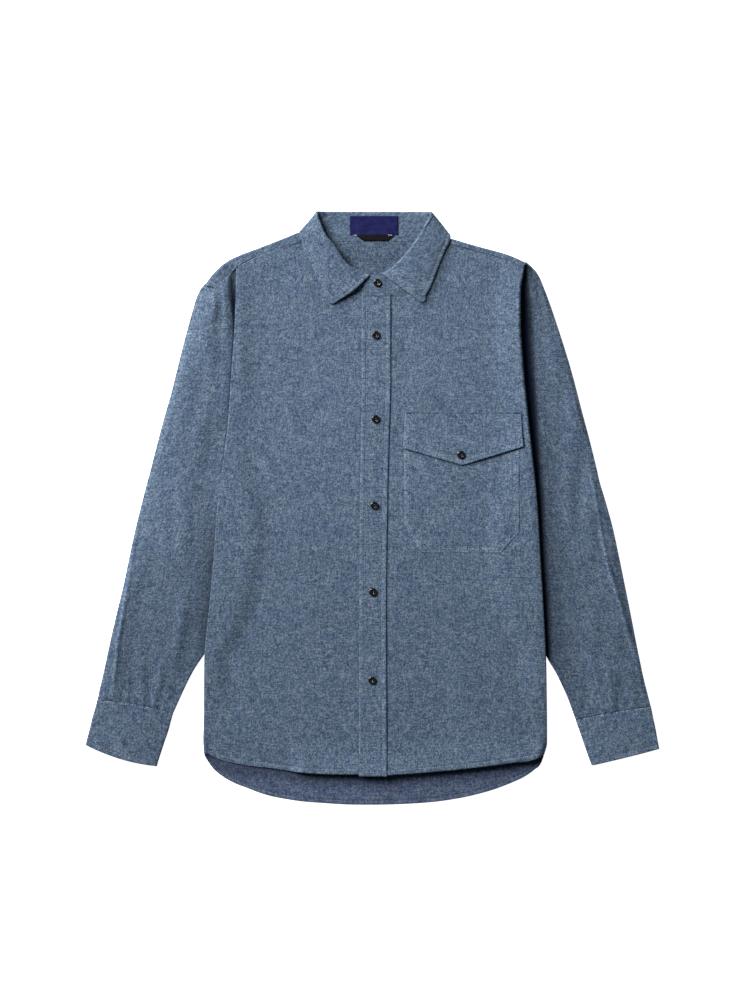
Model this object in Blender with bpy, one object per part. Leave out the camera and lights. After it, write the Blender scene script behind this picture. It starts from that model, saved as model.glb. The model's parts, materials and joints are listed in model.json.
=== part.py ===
"""Chambray shirt with long sleeves, buttoned and laid flat on its back.

Every cloth piece is a thin wall round a grid of points. X runs to the right as the
front is seen, Y runs up to the collar, Z runs up from the surface the shirt lies on.
Lengths below are millimetres; the meshes are metres.
"""
import bpy
import numpy as np

MM = 0.001

# Cloth
WALL = 1.2             # chambray with its turnings
SEAM = 0.3             # gap left between two pieces at a seam
LAYER = WALL + SEAM    # middle to middle of two pieces that lie on each other
FLOOR_MID = WALL / 2   # middle of a layer that lies on the surface
FRONT_MID = 4.8        # middle of the front panels over the flat back

# Body
BACK_SEAM_Y = 255.0    # yoke seam across the back
BACK_INSET = 4.0       # the back's side edge lies this far inside the rolled front edge
TUCK_LIFT = 4.3        # the back rises this much where it lies over a sleeve
TUCK_SLOPE = 32.0      # and comes down over this width
TUCK_TOP_Y, TUCK_TOP_EASE = 102.0, 42.0        # where that rise starts below the arm
TUCK_FOOT_Y, TUCK_FOOT_EASE = -295.0, 90.0     # and where it has died out again
HEM_Y, HEM_EASE = -335.0, 30.0                 # the back is full width again at its hem
BACK_CLEAR = 0.5       # least the back's edge lies inside the front's
EDGE_SWELL = 45.0      # width over which a front rises to its rolled side edge
FOLD_RETURN = 3.0      # flat cloth that carries on under the rolled edge
UNDERLAP = 4.0         # the placket lies over the front's edge by this much
ROLL_STEPS = 5         # points round a rolled side edge
TUCK_MARGIN = 7.0      # the back stays up this far past the sleeve's inner fold
PATCH_REST = 0.3       # the pocket and its flap lie this much freer than a bare layer
CENTRE_TOP_Y, CENTRE_FOOT_Y = 290.0, -360.0    # where the fronts' centre edges end
# Heights of the rows at the side edges, closer together where the sleeves come and go.
FRONT_ROWS = [-338, -310, -282, -255, -228, -200, -165, -125, -85, -45, -12, 9, 30, 52, 70,
              90, 120, 165, 215, 262, 300, 331]
# Distances in from the side at which a front has its columns, before the neckline.
FRONT_COLUMNS = [9, 16.5, 24, 31.5, 39, 46.5, 54, 62, 72, 86]
BACK_ROWS = [-339, -310, -282, -255, -228, -200, -165, -125, -85, -45, -12, 9, 30, 52, 70,
             88, 104, 130, 190, 255]
BACK_COLUMNS = [0, 0.025, 0.05, 0.08, 0.11, 0.145, 0.19, 0.3, 0.5, 0.7, 0.81, 0.855, 0.89,
                0.92, 0.95, 0.975, 1]

# Buttons
BUTTON_RADIUS = 5.5
# Radius, height: foot, side, rim and the sunk middle.
BUTTON_PROFILE = [(0.0, 0.0), (4.9, 0.0), (BUTTON_RADIUS, 0.9), (5.1, 2.1), (4.0, 2.3),
                  (3.2, 1.7), (0.0, 1.7)]
BUTTON_SEGMENTS = 12

# Side edges of the body: height up the shirt, place across, middle of what the
# rolled edge lies on, radius of the roll.
LEFT_EDGE = dict(
    y=[-339, -317, -290, -254, -200, -144, -70, -2, 60, 78, 95, 185, 265, 300, 331],
    x=[-229.0, -233.5, -233.3, -233.0, -232.0, -226.5, -219.5, -212.5, -204.8, -202.4,
       -200.8, -195.5, -190.5, -189.8, -189.5],
    on=[0.6, 0.6, 0.7, 3.1, 4.9, 4.9, 4.9, 4.9, 4.9, 3.6, 3.1, 3.0, 3.0, 2.6, 2.4],
    roll=[1.35, 1.35, 1.35, 1.4, 1.4, 1.4, 1.4, 1.4, 1.4, 1.7, 1.9, 1.9, 1.9, 1.7, 1.35])
RIGHT_EDGE = dict(
    y=[-339, -321, -290, -254, -206, -125, -70, -2, 60, 78, 95, 133, 196, 248, 296, 331],
    x=[233.0, 237.5, 237.2, 236.3, 235.0, 232.0, 229.0, 224.0, 218.2, 216.5, 215.0, 211.5,
       205.0, 201.0, 201.0, 206.0],
    on=[0.6, 0.6, 0.7, 3.1, 4.9, 4.9, 4.9, 4.9, 4.9, 3.6, 3.0, 2.1, 2.1, 2.1, 2.1, 2.1],
    roll=[1.35, 1.35, 1.4, 1.5, 1.8, 1.8, 1.8, 2.0, 2.4, 3.0, 3.4, 3.8, 4.2, 4.6, 4.2, 2.0])

# Hems: place across, height.
FRONT_HEM_RIGHT_SIDE = dict(x=[-229, -214.5, -183, -143.5, -112, -80.5, 17],
                            y=[-336, -343, -351, -355.5, -360, -362.5, -363])
FRONT_HEM_LEFT_SIDE = dict(x=[14, 74.5, 141.5, 191, 224.5, 233],
                           y=[-365, -360.5, -354, -347.5, -342, -337.5])
BACK_HEM = dict(
    x=[-231, -217.5, -191.5, -151.5, -105, -65.5, -23, 30.5, 91, 125, 158, 191, 216,
       230.5, 233.5],
    y=[-339, -354, -373.5, -390, -399, -403.5, -406, -405, -402, -397.5, -389.5, -377.5,
       -362.5, -347.5, -340])

# Shoulders, from the sleeve to the neck: the fold at the top and the front yoke seam.
LEFT_SHOULDER = dict(fold_x=[-228, -220, -202.5, -184.5, -153, -120, -107, -101],
                     fold_y=[308, 318.5, 335, 344.5, 357, 368, 371.6, 371.2],
                     seam_x=[-214, -206.5, -197, -184.5, -158.5, -127, -110, -101.5],
                     seam_y=[303.8, 309, 320, 333, 346, 354.5, 361.3, 364.5])
RIGHT_SHOULDER = dict(fold_x=[207, 181, 143, 112, 104.5],
                      fold_y=[335, 346.5, 357, 366, 367],
                      seam_x=[205, 180, 142, 112.5, 105.5],
                      seam_y=[330.5, 342, 352.6, 361, 363])

# Yoke: its ends along the back seam, the collar rows its neck seam runs between, its rows
# below the neck, and its columns by shoulder row, across the neck and round the fold.
YOKE_FOOT = dict(left=-187.0, neck=97.0, right=197.0)
YOKE_NECK = (9.35, 14.65)
YOKE_ROWS = [0, 0.25, 0.5, 0.7, 0.85]
YOKE_COLUMNS = dict(left=[0, 0.7, 1.4, 2.2, 3, 3.6, 4.3, 5.1, 6, 7],
                    right=[4, 3, 2.4, 1.7, 1.1, 0.5, 0], neck=9, round=6)

# Placket: height, left edge, right edge.
PLACKET = dict(y=[-366, -139, -33, 72, 176, 290],
               left=[-20, -19, -18.8, -17.3, -16, -16],
               right=[18, 17, 18, 20, 23, 23])

# Collar, one row for each station from the wearer's right round the back to the left:
# neck seam, roll line and outer edge of the leaf, each across, up and high, and the
# radius of the roll, and how the collar leans: 90 folded in over the stand, 0 upright,
# -90 folded out with the leaf below. The end rows are the stand's ends, past the leaf.
COLLAR_COLUMNS = ("nx", "ny", "nz", "rx", "ry", "rz", "ex", "ey", "ez", "roll", "lean")
COLLAR = [
    (18.0, 290.5, 4.8, 17.0, 319.0, 5.6, 17.0, 286.0, 8.0, 0.9, 90),
    (2.0, 290.5, 4.8, 4.0, 319.5, 5.8, -10.0, 284.0, 9.0, 1.2, 90),
    (-14.5, 291.0, 4.8, -6.5, 320.0, 7.3, -57.0, 279.0, 12.0, 1.9, 90),
    (-22.0, 292.5, 4.8, -14.0, 322.5, 7.8, -64.0, 290.0, 10.5, 1.9, 90),
    (-38.0, 298.0, 4.8, -23.0, 326.5, 9.0, -70.0, 303.5, 9.0, 2.0, 90),
    (-56.0, 308.0, 4.8, -38.0, 336.5, 11.0, -78.5, 320.5, 8.0, 2.1, 90),
    (-76.5, 326.0, 4.8, -53.0, 358.5, 12.5, -87.5, 340.5, 7.4, 2.1, 85),
    (-91.5, 344.5, 4.8, -65.5, 374.0, 13.5, -93.5, 356.0, 7.2, 2.1, 75),
    (-97.0, 359.5, 4.8, -72.5, 388.5, 13.5, -99.0, 369.0, 7.4, 2.1, 55),
    (-98.0, 369.5, 3.6, -77.5, 403.0, 11.5, -101.5, 378.0, 5.0, 2.0, 10),
    (-88.0, 368.0, 2.3, -71.0, 406.0, 6.5, -95.0, 374.0, 0.8, 1.8, -60),
    (-60.0, 366.0, 2.1, -55.0, 406.3, 2.5, -62.0, 359.5, 0.6, 1.7, -90),
    (0.5, 365.0, 2.1, 0.5, 406.5, 2.4, 0.5, 357.0, 0.6, 1.7, -90),
    (61.0, 366.0, 2.1, 57.0, 406.3, 2.5, 63.0, 359.5, 0.6, 1.7, -90),
    (90.0, 368.0, 2.3, 73.0, 405.5, 6.5, 98.0, 372.5, 0.8, 1.8, -60),
    (101.0, 368.5, 3.6, 78.5, 402.5, 11.5, 104.5, 374.5, 5.0, 2.0, 10),
    (100.5, 357.5, 4.8, 69.0, 385.5, 13.5, 103.5, 366.0, 7.4, 2.1, 55),
    (93.5, 343.5, 4.8, 61.5, 372.0, 13.5, 98.5, 355.5, 7.2, 2.1, 75),
    (78.5, 326.5, 4.8, 51.0, 357.5, 12.5, 93.0, 342.5, 7.4, 2.1, 85),
    (62.0, 311.0, 4.8, 40.0, 344.0, 11.5, 86.5, 326.0, 8.0, 2.0, 90),
    (45.5, 299.5, 4.8, 29.0, 333.5, 10.8, 79.0, 305.5, 9.0, 1.8, 90),
    (27.5, 292.5, 5.4, 21.0, 327.0, 10.0, 73.5, 293.0, 10.5, 1.7, 90),
    (14.0, 290.8, 6.4, 12.5, 322.0, 9.0, 67.5, 281.5, 12.0, 1.5, 90),
    (-2.0, 290.8, 6.6, 1.0, 319.5, 8.2, 10.0, 286.0, 10.0, 0.9, 90),
    (-8.5, 290.8, 6.6, -8.5, 315.5, 7.9, -8.5, 286.0, 9.5, 0.9, 90),
    (-13.5, 290.8, 6.6, -13.0, 306.0, 7.4, -13.5, 286.0, 9.0, 0.9, 90)]
LEAF_FIRST, LEAF_LAST = 2, 22
STAND_TOP_TURN = 55.0   # degrees round the roll where the stand's top seam lies
STAND_TOP_GAP = 0.8     # between the stand's top and the leaf, round the roll
LEAF_SWELL = 1.2        # the leaf arches this much between its roll and its edge
TANGENT_REACH = 0.35    # rows each way over which the roll line's direction is taken
NECK_GAP = 0.9          # the fronts stop this far outside the stand, under the leaf
# Where the yoke rises over the leaf folded under it at the back.
LEAF_UNDER = dict(foot=334.0, foot_ease=16.0, side=108.0, side_ease=20.0)

# Sleeves, one row for each station from the shoulder to the cuff: outer fold, end of
# the front layer, end of the back layer, heights of the front layer's middle beside
# the body, along its centre and at the outer fold, width of the low stretch beside
# the body, width of the rise from it, and how far the inner side is folded closed.
SLEEVE_COLUMNS = ("ox", "oy", "fx", "fy", "bx", "by", "z_in", "z_mid", "z_out", "low",
                  "climb", "closed")
SLEEVE_LEFT_SIDE = [
    (-229.7, 305.6, -183.0, 331.0, -209.9, 281.0, 2.4, 5.2, 4.6, 6, 26, 0),
    (-235.5, 296.5, -182.0, 306.0, -194.2, 260.8, 2.8, 5.2, 4.6, 9, 22, 0),
    (-243.5, 277.5, -180.5, 277.5, -188.9, 240.0, 3.0, 5.2, 4.6, 11, 20, 0),
    (-261.5, 220.0, -183.0, 220.0, -190.6, 205.0, 3.0, 5.2, 4.6, 12, 20, 0),
    (-275.0, 163.5, -186.0, 163.5, -194.0, 155.0, 3.0, 5.0, 4.6, 12, 20, 0),
    (-284.0, 130.0, -188.5, 130.0, -195.4, 125.0, 3.0, 5.0, 4.6, 11, 20, 0),
    (-293.0, 95.0, -199.0, 96.0, -199.0, 92.0, 3.0, 5.0, 4.6, 3, 22, 0),
    (-304.5, 52.0, -204.5, 58.0, -206.0, 58.0, 3.2, 4.8, 4.4, 5, 25, 0.6),
    (-311.0, 28.0, -199.5, 36.5, -202.5, 36.5, 3.4, 4.8, 4.4, 10, 25, 1),
    (-316.0, 6.0, -190.0, 11.5, -193.0, 11.5, 3.4, 4.8, 4.4, 26, 22, 1),
    (-324.0, -26.0, -184.5, -22.5, -187.0, -22.5, 3.4, 4.8, 4.2, 32, 22, 1),
    (-334.0, -65.0, -186.0, -63.5, -189.0, -63.5, 3.4, 4.8, 4.2, 34, 22, 1),
    (-344.0, -108.0, -193.0, -105.0, -196.0, -105.0, 3.4, 4.8, 4.2, 30, 22, 1),
    (-353.0, -149.0, -202.5, -142.0, -205.0, -142.0, 3.4, 4.8, 4.2, 22, 22, 1),
    (-360.5, -184.0, -217.5, -176.0, -220.0, -176.0, 3.4, 4.8, 4.0, 12, 22, 1),
    (-366.0, -212.0, -233.0, -201.0, -236.0, -201.0, 3.4, 4.8, 4.0, 4, 22, 1),
    (-370.0, -232.0, -246.5, -221.5, -249.0, -221.5, 3.6, 4.8, 4.0, 0, 22, 1),
    (-373.5, -247.0, -258.5, -245.0, -261.0, -245.0, 3.6, 4.6, 3.8, 0, 22, 1),
    (-376.5, -262.3, -274.8, -280.8, -277.0, -280.8, 3.6, 4.0, 3.6, 0, 22, 1)]
SLEEVE_RIGHT_SIDE = [
    (208.8, 333.8, 196.0, 325.0, 209.0, 262.0, 2.4, 4.0, 4.0, 8, 6, 0),
    (220.5, 322.0, 192.5, 306.0, 198.2, 249.0, 2.1, 5.2, 4.8, 14, 9, 0),
    (231.5, 301.0, 190.0, 277.5, 199.4, 232.0, 2.1, 5.4, 4.8, 22, 10, 0),
    (247.0, 263.5, 190.5, 248.0, 200.6, 214.0, 2.1, 5.4, 4.8, 24, 11, 0),
    (269.0, 196.0, 195.0, 190.0, 203.8, 180.0, 2.1, 5.4, 4.8, 22, 11, 0),
    (285.5, 133.5, 200.5, 130.0, 209.6, 128.0, 2.1, 5.4, 4.8, 20, 12, 0),
    (295.0, 98.0, 214.0, 95.0, 214.0, 93.0, 2.2, 5.4, 4.8, 10, 12, 0),
    (304.5, 60.0, 219.5, 58.0, 221.0, 58.0, 2.8, 5.3, 4.6, 7, 14, 0.6),
    (310.0, 36.0, 213.0, 36.5, 216.0, 36.5, 3.2, 5.2, 4.6, 14, 16, 1),
    (316.0, 11.0, 203.0, 11.5, 206.0, 11.5, 3.4, 5.2, 4.6, 26, 18, 1),
    (325.0, -25.0, 193.0, -22.5, 196.0, -22.5, 3.4, 5.2, 4.4, 36, 20, 1),
    (336.0, -64.0, 193.5, -63.5, 196.0, -63.5, 3.4, 5.0, 4.4, 37, 20, 1),
    (345.0, -108.0, 199.0, -105.0, 202.0, -105.0, 3.4, 5.0, 4.4, 33, 20, 1),
    (353.0, -148.0, 208.5, -142.0, 211.0, -142.0, 3.4, 5.0, 4.2, 26, 20, 1),
    (360.0, -184.0, 222.5, -176.0, 225.0, -176.0, 3.4, 4.8, 4.2, 13, 20, 1),
    (365.5, -211.0, 237.0, -204.0, 240.0, -204.0, 3.4, 4.8, 4.2, 3, 20, 1),
    (370.0, -232.0, 250.0, -227.0, 253.0, -227.0, 3.6, 4.8, 4.0, 0, 20, 1),
    (375.0, -252.0, 264.0, -257.0, 266.0, -257.0, 3.6, 4.6, 3.8, 0, 20, 1),
    (380.0, -271.5, 279.8, -289.8, 282.0, -289.8, 3.6, 4.0, 3.6, 0, 20, 1)]

# The yoke's end at the left sleeve: share of the way out from the body, drop of the
# sleeve's top edge below a straight line.
LEFT_HEAD_DROP = dict(share=[0, 0.12, 0.45, 0.72, 0.9, 1], drop=[0, -1.5, -8.5, -11.5, -4, 0])
HEAD_REACH = 30.0       # the drop fades out over this length of sleeve
INNER_TURN = 165.0      # degrees the inner edge turns where the sleeve is closed
OUTER_EASE = 28.0       # width over which the front layer comes down to the outer fold
BOW_POWER = 6           # how fast the bow of a seam dies out along the sleeve

CUFF_LEFT_SIDE = [
    (-376.6, -263.2, -275.0, -281.7, -277.0, -281.7, 3.6, 4.0, 3.6, 0, 22, 1),
    (-382.0, -283.0, -282.0, -306.0, -284.0, -306.0, 3.6, 4.2, 3.6, 0, 22, 1),
    (-387.0, -303.0, -290.0, -330.0, -292.0, -330.0, 3.6, 4.2, 3.6, 0, 22, 1),
    (-392.5, -324.0, -297.5, -353.0, -300.0, -353.0, 3.6, 4.0, 3.6, 0, 22, 1)]
CUFF_RIGHT_SIDE = [
    (380.1, -272.4, 280.0, -290.7, 282.0, -290.7, 3.6, 4.0, 3.6, 0, 20, 1),
    (384.0, -291.0, 286.0, -311.0, 288.0, -311.0, 3.6, 4.2, 3.6, 0, 20, 1),
    (388.0, -310.0, 292.0, -331.0, 294.0, -331.0, 3.6, 4.2, 3.6, 0, 20, 1),
    (391.5, -329.0, 298.5, -352.0, 301.0, -352.0, 3.6, 4.0, 3.6, 0, 20, 1)]
# How far the seam and the open end of each cuff bow towards the hand (negative).
SEAM_BOW = dict(left=3.6, right=1.6)
OPEN_END_BOW = dict(left=-4.4, right=-1.8)

# Pocket and flap on the wearer's left front: place across, height.
POCKET_FOOT = dict(x=[42.5, 65.5, 173.5, 199.0], y=[-22.5, -60.5, -60.5, -32.0])
POCKET_TOP = 124.0
FLAP_TOP = 131.5
FLAP_POINT = dict(x=[40.5, 121.0, 204.5], y=[83.0, 59.5, 85.0])
FLAP_SIDE_LEAN = 3.5    # the flap is this much narrower along its sewn edge

BUTTONS = [("button_1", 5.0, 309.0, "stand"), ("button_2", 3.0, 237.5, "placket"),
           ("button_3", 2.5, 122.5, "placket"), ("button_4", 1.0, 4.0, "placket"),
           ("button_5", -1.0, -114.5, "placket"), ("button_6", -2.0, -235.5, "placket"),
           ("button_pocket", 119.5, 73.5, "flap")]

LABEL = dict(left=-32.5, right=33.0, foot=374.6, top=400.5, wall=1.0)
TAB = dict(top_left=-24.5, top_right=27.5, foot_left=-14.5, foot_right=19.5, top=374.1,
           foot=367.0, wall=1.0)

# Finish: colour (linear), roughness.
CLOTH_FINISH = ((0.102, 0.153, 0.242), 0.85)
BUTTON_FINISH = ((0.006, 0.006, 0.007), 0.18)
LABEL_FINISH = ((0.012, 0.012, 0.12), 0.7)
TAB_FINISH = ((0.008, 0.008, 0.009), 0.7)


def through(at, stops, values):
    """Smooth curve through the values, which keeps level at every peak and hollow."""
    stops = np.asarray(stops, float)
    values = np.asarray(values, float)
    step = np.diff(stops)
    rise = np.diff(values) / step
    slope = np.concatenate([rise[:1], (rise[:-1] * step[1:] + rise[1:] * step[:-1])
                            / (step[1:] + step[:-1]), rise[-1:]])
    turns = np.concatenate([[False], rise[:-1] * rise[1:] <= 0, [False]])
    slope = np.where(turns, 0.0, slope)
    at = np.clip(np.asarray(at, float), stops[0], stops[-1])
    i = np.clip(np.searchsorted(stops, at, side="right") - 1, 0, len(stops) - 2)
    h = step[i]
    t = (at - stops[i]) / h
    return (values[i] * (1 + 2 * t) * (1 - t) ** 2 + slope[i] * h * t * (1 - t) ** 2
            + values[i + 1] * t * t * (3 - 2 * t) + slope[i + 1] * h * t * t * (t - 1))


def ease(t):
    """0 to 1 with level ends."""
    t = np.clip(t, 0.0, 1.0)
    return t * t * (3 - 2 * t)


def unit(v):
    return v / np.maximum(np.linalg.norm(v, axis=-1, keepdims=True), 1e-9)


def columns(table, names, at):
    """Read a table of rows at fractional row numbers; gives one array a column."""
    rows = np.arange(len(table))
    return {name: through(at, rows, [row[i] for row in table])
            for i, name in enumerate(names)}


# ---------------------------------------------------------------- meshes

def material(name, finish):
    mat = bpy.data.materials.new(name)
    mat.use_nodes = True
    shader = mat.node_tree.nodes["Principled BSDF"]
    colour, roughness = finish
    shader.inputs["Base Color"].default_value = (*colour, 1.0)
    shader.inputs["Roughness"].default_value = roughness
    return mat


def add_object(name, points, faces, mat, smooth=True):
    mesh = bpy.data.meshes.new(name)
    mesh.from_pydata([tuple(p) for p in np.asarray(points) * MM], [], faces)
    if signed_volume(mesh) < 0:
        mesh.flip_normals()
    if smooth:
        mesh.shade_smooth()
    mesh.materials.append(mat)
    mesh.validate()
    obj = bpy.data.objects.new(name, mesh)
    bpy.context.scene.collection.objects.link(obj)
    return obj


def signed_volume(mesh):
    total = 0.0
    for face in mesh.polygons:
        corners = [mesh.vertices[i].co for i in face.vertices]
        for i in range(1, len(corners) - 1):
            total += corners[0].dot(corners[i].cross(corners[i + 1]))
    return total / 6


def normals(grid):
    """Unit normals of a grid of points, from its two directions."""
    return unit(np.cross(np.gradient(grid, axis=0), np.gradient(grid, axis=1)))


def cloth(name, grid, mat, wall=WALL, cut=None):
    """A closed wall round a grid of middle points. cut marks squares left out."""
    away = normals(grid) * wall / 2
    rows, cols = grid.shape[:2]
    keep = np.ones((rows - 1, cols - 1), bool) if cut is None else ~cut
    index = np.arange(rows * cols).reshape(rows, cols)
    low = rows * cols
    faces, rims = [], {}
    for i, j in np.argwhere(keep):
        a, b = int(index[i, j]), int(index[i, j + 1])
        c, d = int(index[i + 1, j + 1]), int(index[i + 1, j])
        faces.append((a, b, c, d))
        faces.append((d + low, c + low, b + low, a + low))
        for p, q in ((a, b), (b, c), (c, d), (d, a)):
            if (q, p) in rims:
                del rims[(q, p)]
            else:
                rims[(p, q)] = True
    faces += [(q, p, p + low, q + low) for p, q in rims]
    points = np.concatenate([(grid + away).reshape(-1, 3), (grid - away).reshape(-1, 3)])
    used = sorted({i for face in faces for i in face})
    place = {old: new for new, old in enumerate(used)}
    return add_object(name, points[used], [tuple(place[i] for i in f) for f in faces], mat)


# ---------------------------------------------------------------- body

def inward(edge, x, y):
    """Distance in from a side edge of the body."""
    side = np.sign(edge["x"][0])
    return side * (through(y, edge["y"], edge["x"]) - x)


def tucked(edge, sleeve, y):
    """How far the closed sleeve reaches in under the body at this height."""
    rows = sleeve[::-1]
    reach = through(y, [row[3] for row in rows], [row[2] for row in rows])
    return np.maximum(inward(edge, reach, y), 0.0)


def lift(edge, sleeve, x, y):
    """Rise of the back where it lies over a sleeve."""
    beside = (ease((TUCK_TOP_Y - y) / TUCK_TOP_EASE)
              * ease((y - TUCK_FOOT_Y) / TUCK_FOOT_EASE))
    past = inward(edge, x, y) - tucked(edge, sleeve, y) - BACK_INSET - TUCK_MARGIN
    return TUCK_LIFT * beside * (1 - ease(past / TUCK_SLOPE))


def neck_lift(x, y):
    """Rise of the yoke over the collar leaf folded under it."""
    over = ease((y - LEAF_UNDER["foot"]) / LEAF_UNDER["foot_ease"])
    beside = ease((np.abs(x) - LEAF_UNDER["side"]) / LEAF_UNDER["side_ease"])
    return LAYER * over * (1 - beside)


def both_lifts(x, y):
    return (lift(LEFT_EDGE, SLEEVE_LEFT_SIDE, x, y)
            + lift(RIGHT_EDGE, SLEEVE_RIGHT_SIDE, x, y))


def edge_top(edge, y):
    """Middle of the front at the top of its rolled side edge."""
    return (through(y, edge["y"], edge["on"]) + LAYER
            + 2 * through(y, edge["y"], edge["roll"]))


def front_height(x, y):
    """Middle of the front panels: level, raised over sleeves and at the side edges."""
    height = FRONT_MID + both_lifts(x, y)
    for edge, sleeve in ((LEFT_EDGE, SLEEVE_LEFT_SIDE), (RIGHT_EDGE, SLEEVE_RIGHT_SIDE)):
        side_x = through(y, edge["y"], edge["x"])
        extra = edge_top(edge, y) - FRONT_MID - lift(edge, sleeve, side_x, y)
        height = height + extra * (1 - ease(inward(edge, x, y) / EDGE_SWELL))
    return height


def neckline(first, last):
    """Neck seam between two rows of the collar, at every half row, set outward."""
    at = np.linspace(first, last, 2 * abs(last - first) + 1)
    c = columns(COLLAR, COLLAR_COLUMNS, at)
    line = np.stack([c["nx"], c["ny"]], axis=-1)
    way = unit(np.gradient(line, axis=0)) * np.sign(last - first)
    return line + np.stack([-way[:, 1], way[:, 0]], axis=-1) * NECK_GAP


def yoke_seam(shoulder, first=0):
    """Front yoke seam from its outer end to the neck, set down by the seam's gap."""
    return np.stack([shoulder["seam_x"][first:],
                     np.array(shoulder["seam_y"][first:]) - 2 * SEAM], axis=-1)


def front_panel(edge, hem, top, inner_x, beside):
    """Front panel from the end of its rolled side edge to its edge at the centre.

    The flat part runs across at each height; the side edge turns down and under in
    half a circle. top is the upper edge from the side to the centre; beside are the
    distances in from its start at which columns stand before the neckline is reached.
    """
    side = np.sign(edge["x"][0])
    places = side * (top[0, 0] - top[:, 0])
    end = side * (top[0, 0] - inner_x(CENTRE_TOP_Y))
    on_neck = places[(places > beside[-1] + 3.0) & (places < end - 2.0)]
    beside = np.concatenate([np.zeros(ROLL_STEPS), beside, on_neck, [end]])
    top_x = top[0, 0] - side * beside[None, :]
    top_y = np.interp(beside, places, top[:, 1])[None, :]
    share = beside[None, :] / beside[-1]
    up = row_shares(FRONT_ROWS)[:, None]
    hem_x = edge["x"][0] + (inner_x(CENTRE_FOOT_Y) - edge["x"][0]) * share
    foot = through(hem_x, hem["x"], hem["y"])
    y = foot + (top_y - foot) * up
    roll = through(y, edge["y"], edge["roll"])
    start = through(y, edge["y"], edge["x"]) - side * WALL / 2
    x = start + (inner_x(y) - start) * share
    x = np.where(side * (start - x) < roll, start - side * roll, x)
    z = front_height(x, y)
    n = ROLL_STEPS
    turn = np.radians(np.linspace(-90, 90, n))[None, :]
    crown = edge_top(edge, y[:, :n])
    x[:, :n] = (start - side * roll)[:, :n] + side * (roll[:, :n] * np.cos(turn))
    z[:, :n] = crown - roll[:, :n] + roll[:, :n] * np.sin(turn)
    grid = np.stack([x, y, z], axis=-1)
    back_under = grid[:, :1].copy()
    back_under[..., 0] -= side * FOLD_RETURN
    return np.concatenate([back_under, grid], axis=1)


def row_shares(heights):
    """Heights of the rows at the side edge, as shares of the way up."""
    heights = np.asarray(heights, float)
    return (heights - heights[0]) / (heights[-1] - heights[0])


def placket_edge(which, y):
    return through(y, PLACKET["y"], PLACKET[which])


def right_front(mat):
    top = np.concatenate([yoke_seam(LEFT_SHOULDER, 2), neckline(8, 0)[:-1]])
    top[0] = LEFT_EDGE["x"][-1], np.interp(LEFT_EDGE["x"][-1], top[:, 0], top[:, 1])
    grid = front_panel(LEFT_EDGE, FRONT_HEM_RIGHT_SIDE, top,
                       lambda y: placket_edge("right", y) - UNDERLAP - 2 * SEAM,
                       FRONT_COLUMNS)
    return cloth("front_right", grid, mat)


def left_front(mat):
    top = np.concatenate([yoke_seam(RIGHT_SHOULDER), neckline(16, 22)])
    grid = front_panel(RIGHT_EDGE, FRONT_HEM_LEFT_SIDE, top,
                       lambda y: placket_edge("right", y) - UNDERLAP, FRONT_COLUMNS)
    return cloth("front_left", grid, mat)


def back(mat):
    """Back panel, flat on the surface but for where it lies over the sleeves."""
    share = np.array(BACK_COLUMNS)[None, :]
    up = row_shares(BACK_ROWS)[:, None]
    foot_x = BACK_HEM["x"][0] + (BACK_HEM["x"][-1] - BACK_HEM["x"][0]) * share
    foot = through(foot_x, BACK_HEM["x"], BACK_HEM["y"])
    y = foot + (BACK_SEAM_Y - SEAM - foot) * up
    inset = BACK_INSET * ease((y - HEM_Y) / HEM_EASE) + BACK_CLEAR
    left = through(y, LEFT_EDGE["y"], LEFT_EDGE["x"]) + inset
    right = through(y, RIGHT_EDGE["y"], RIGHT_EDGE["x"]) - inset
    x = left + (right - left) * share
    z = FLOOR_MID + both_lifts(x, y)
    return cloth("back", np.stack([x, y, z], axis=-1), mat)


# ---------------------------------------------------------------- yoke

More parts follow.
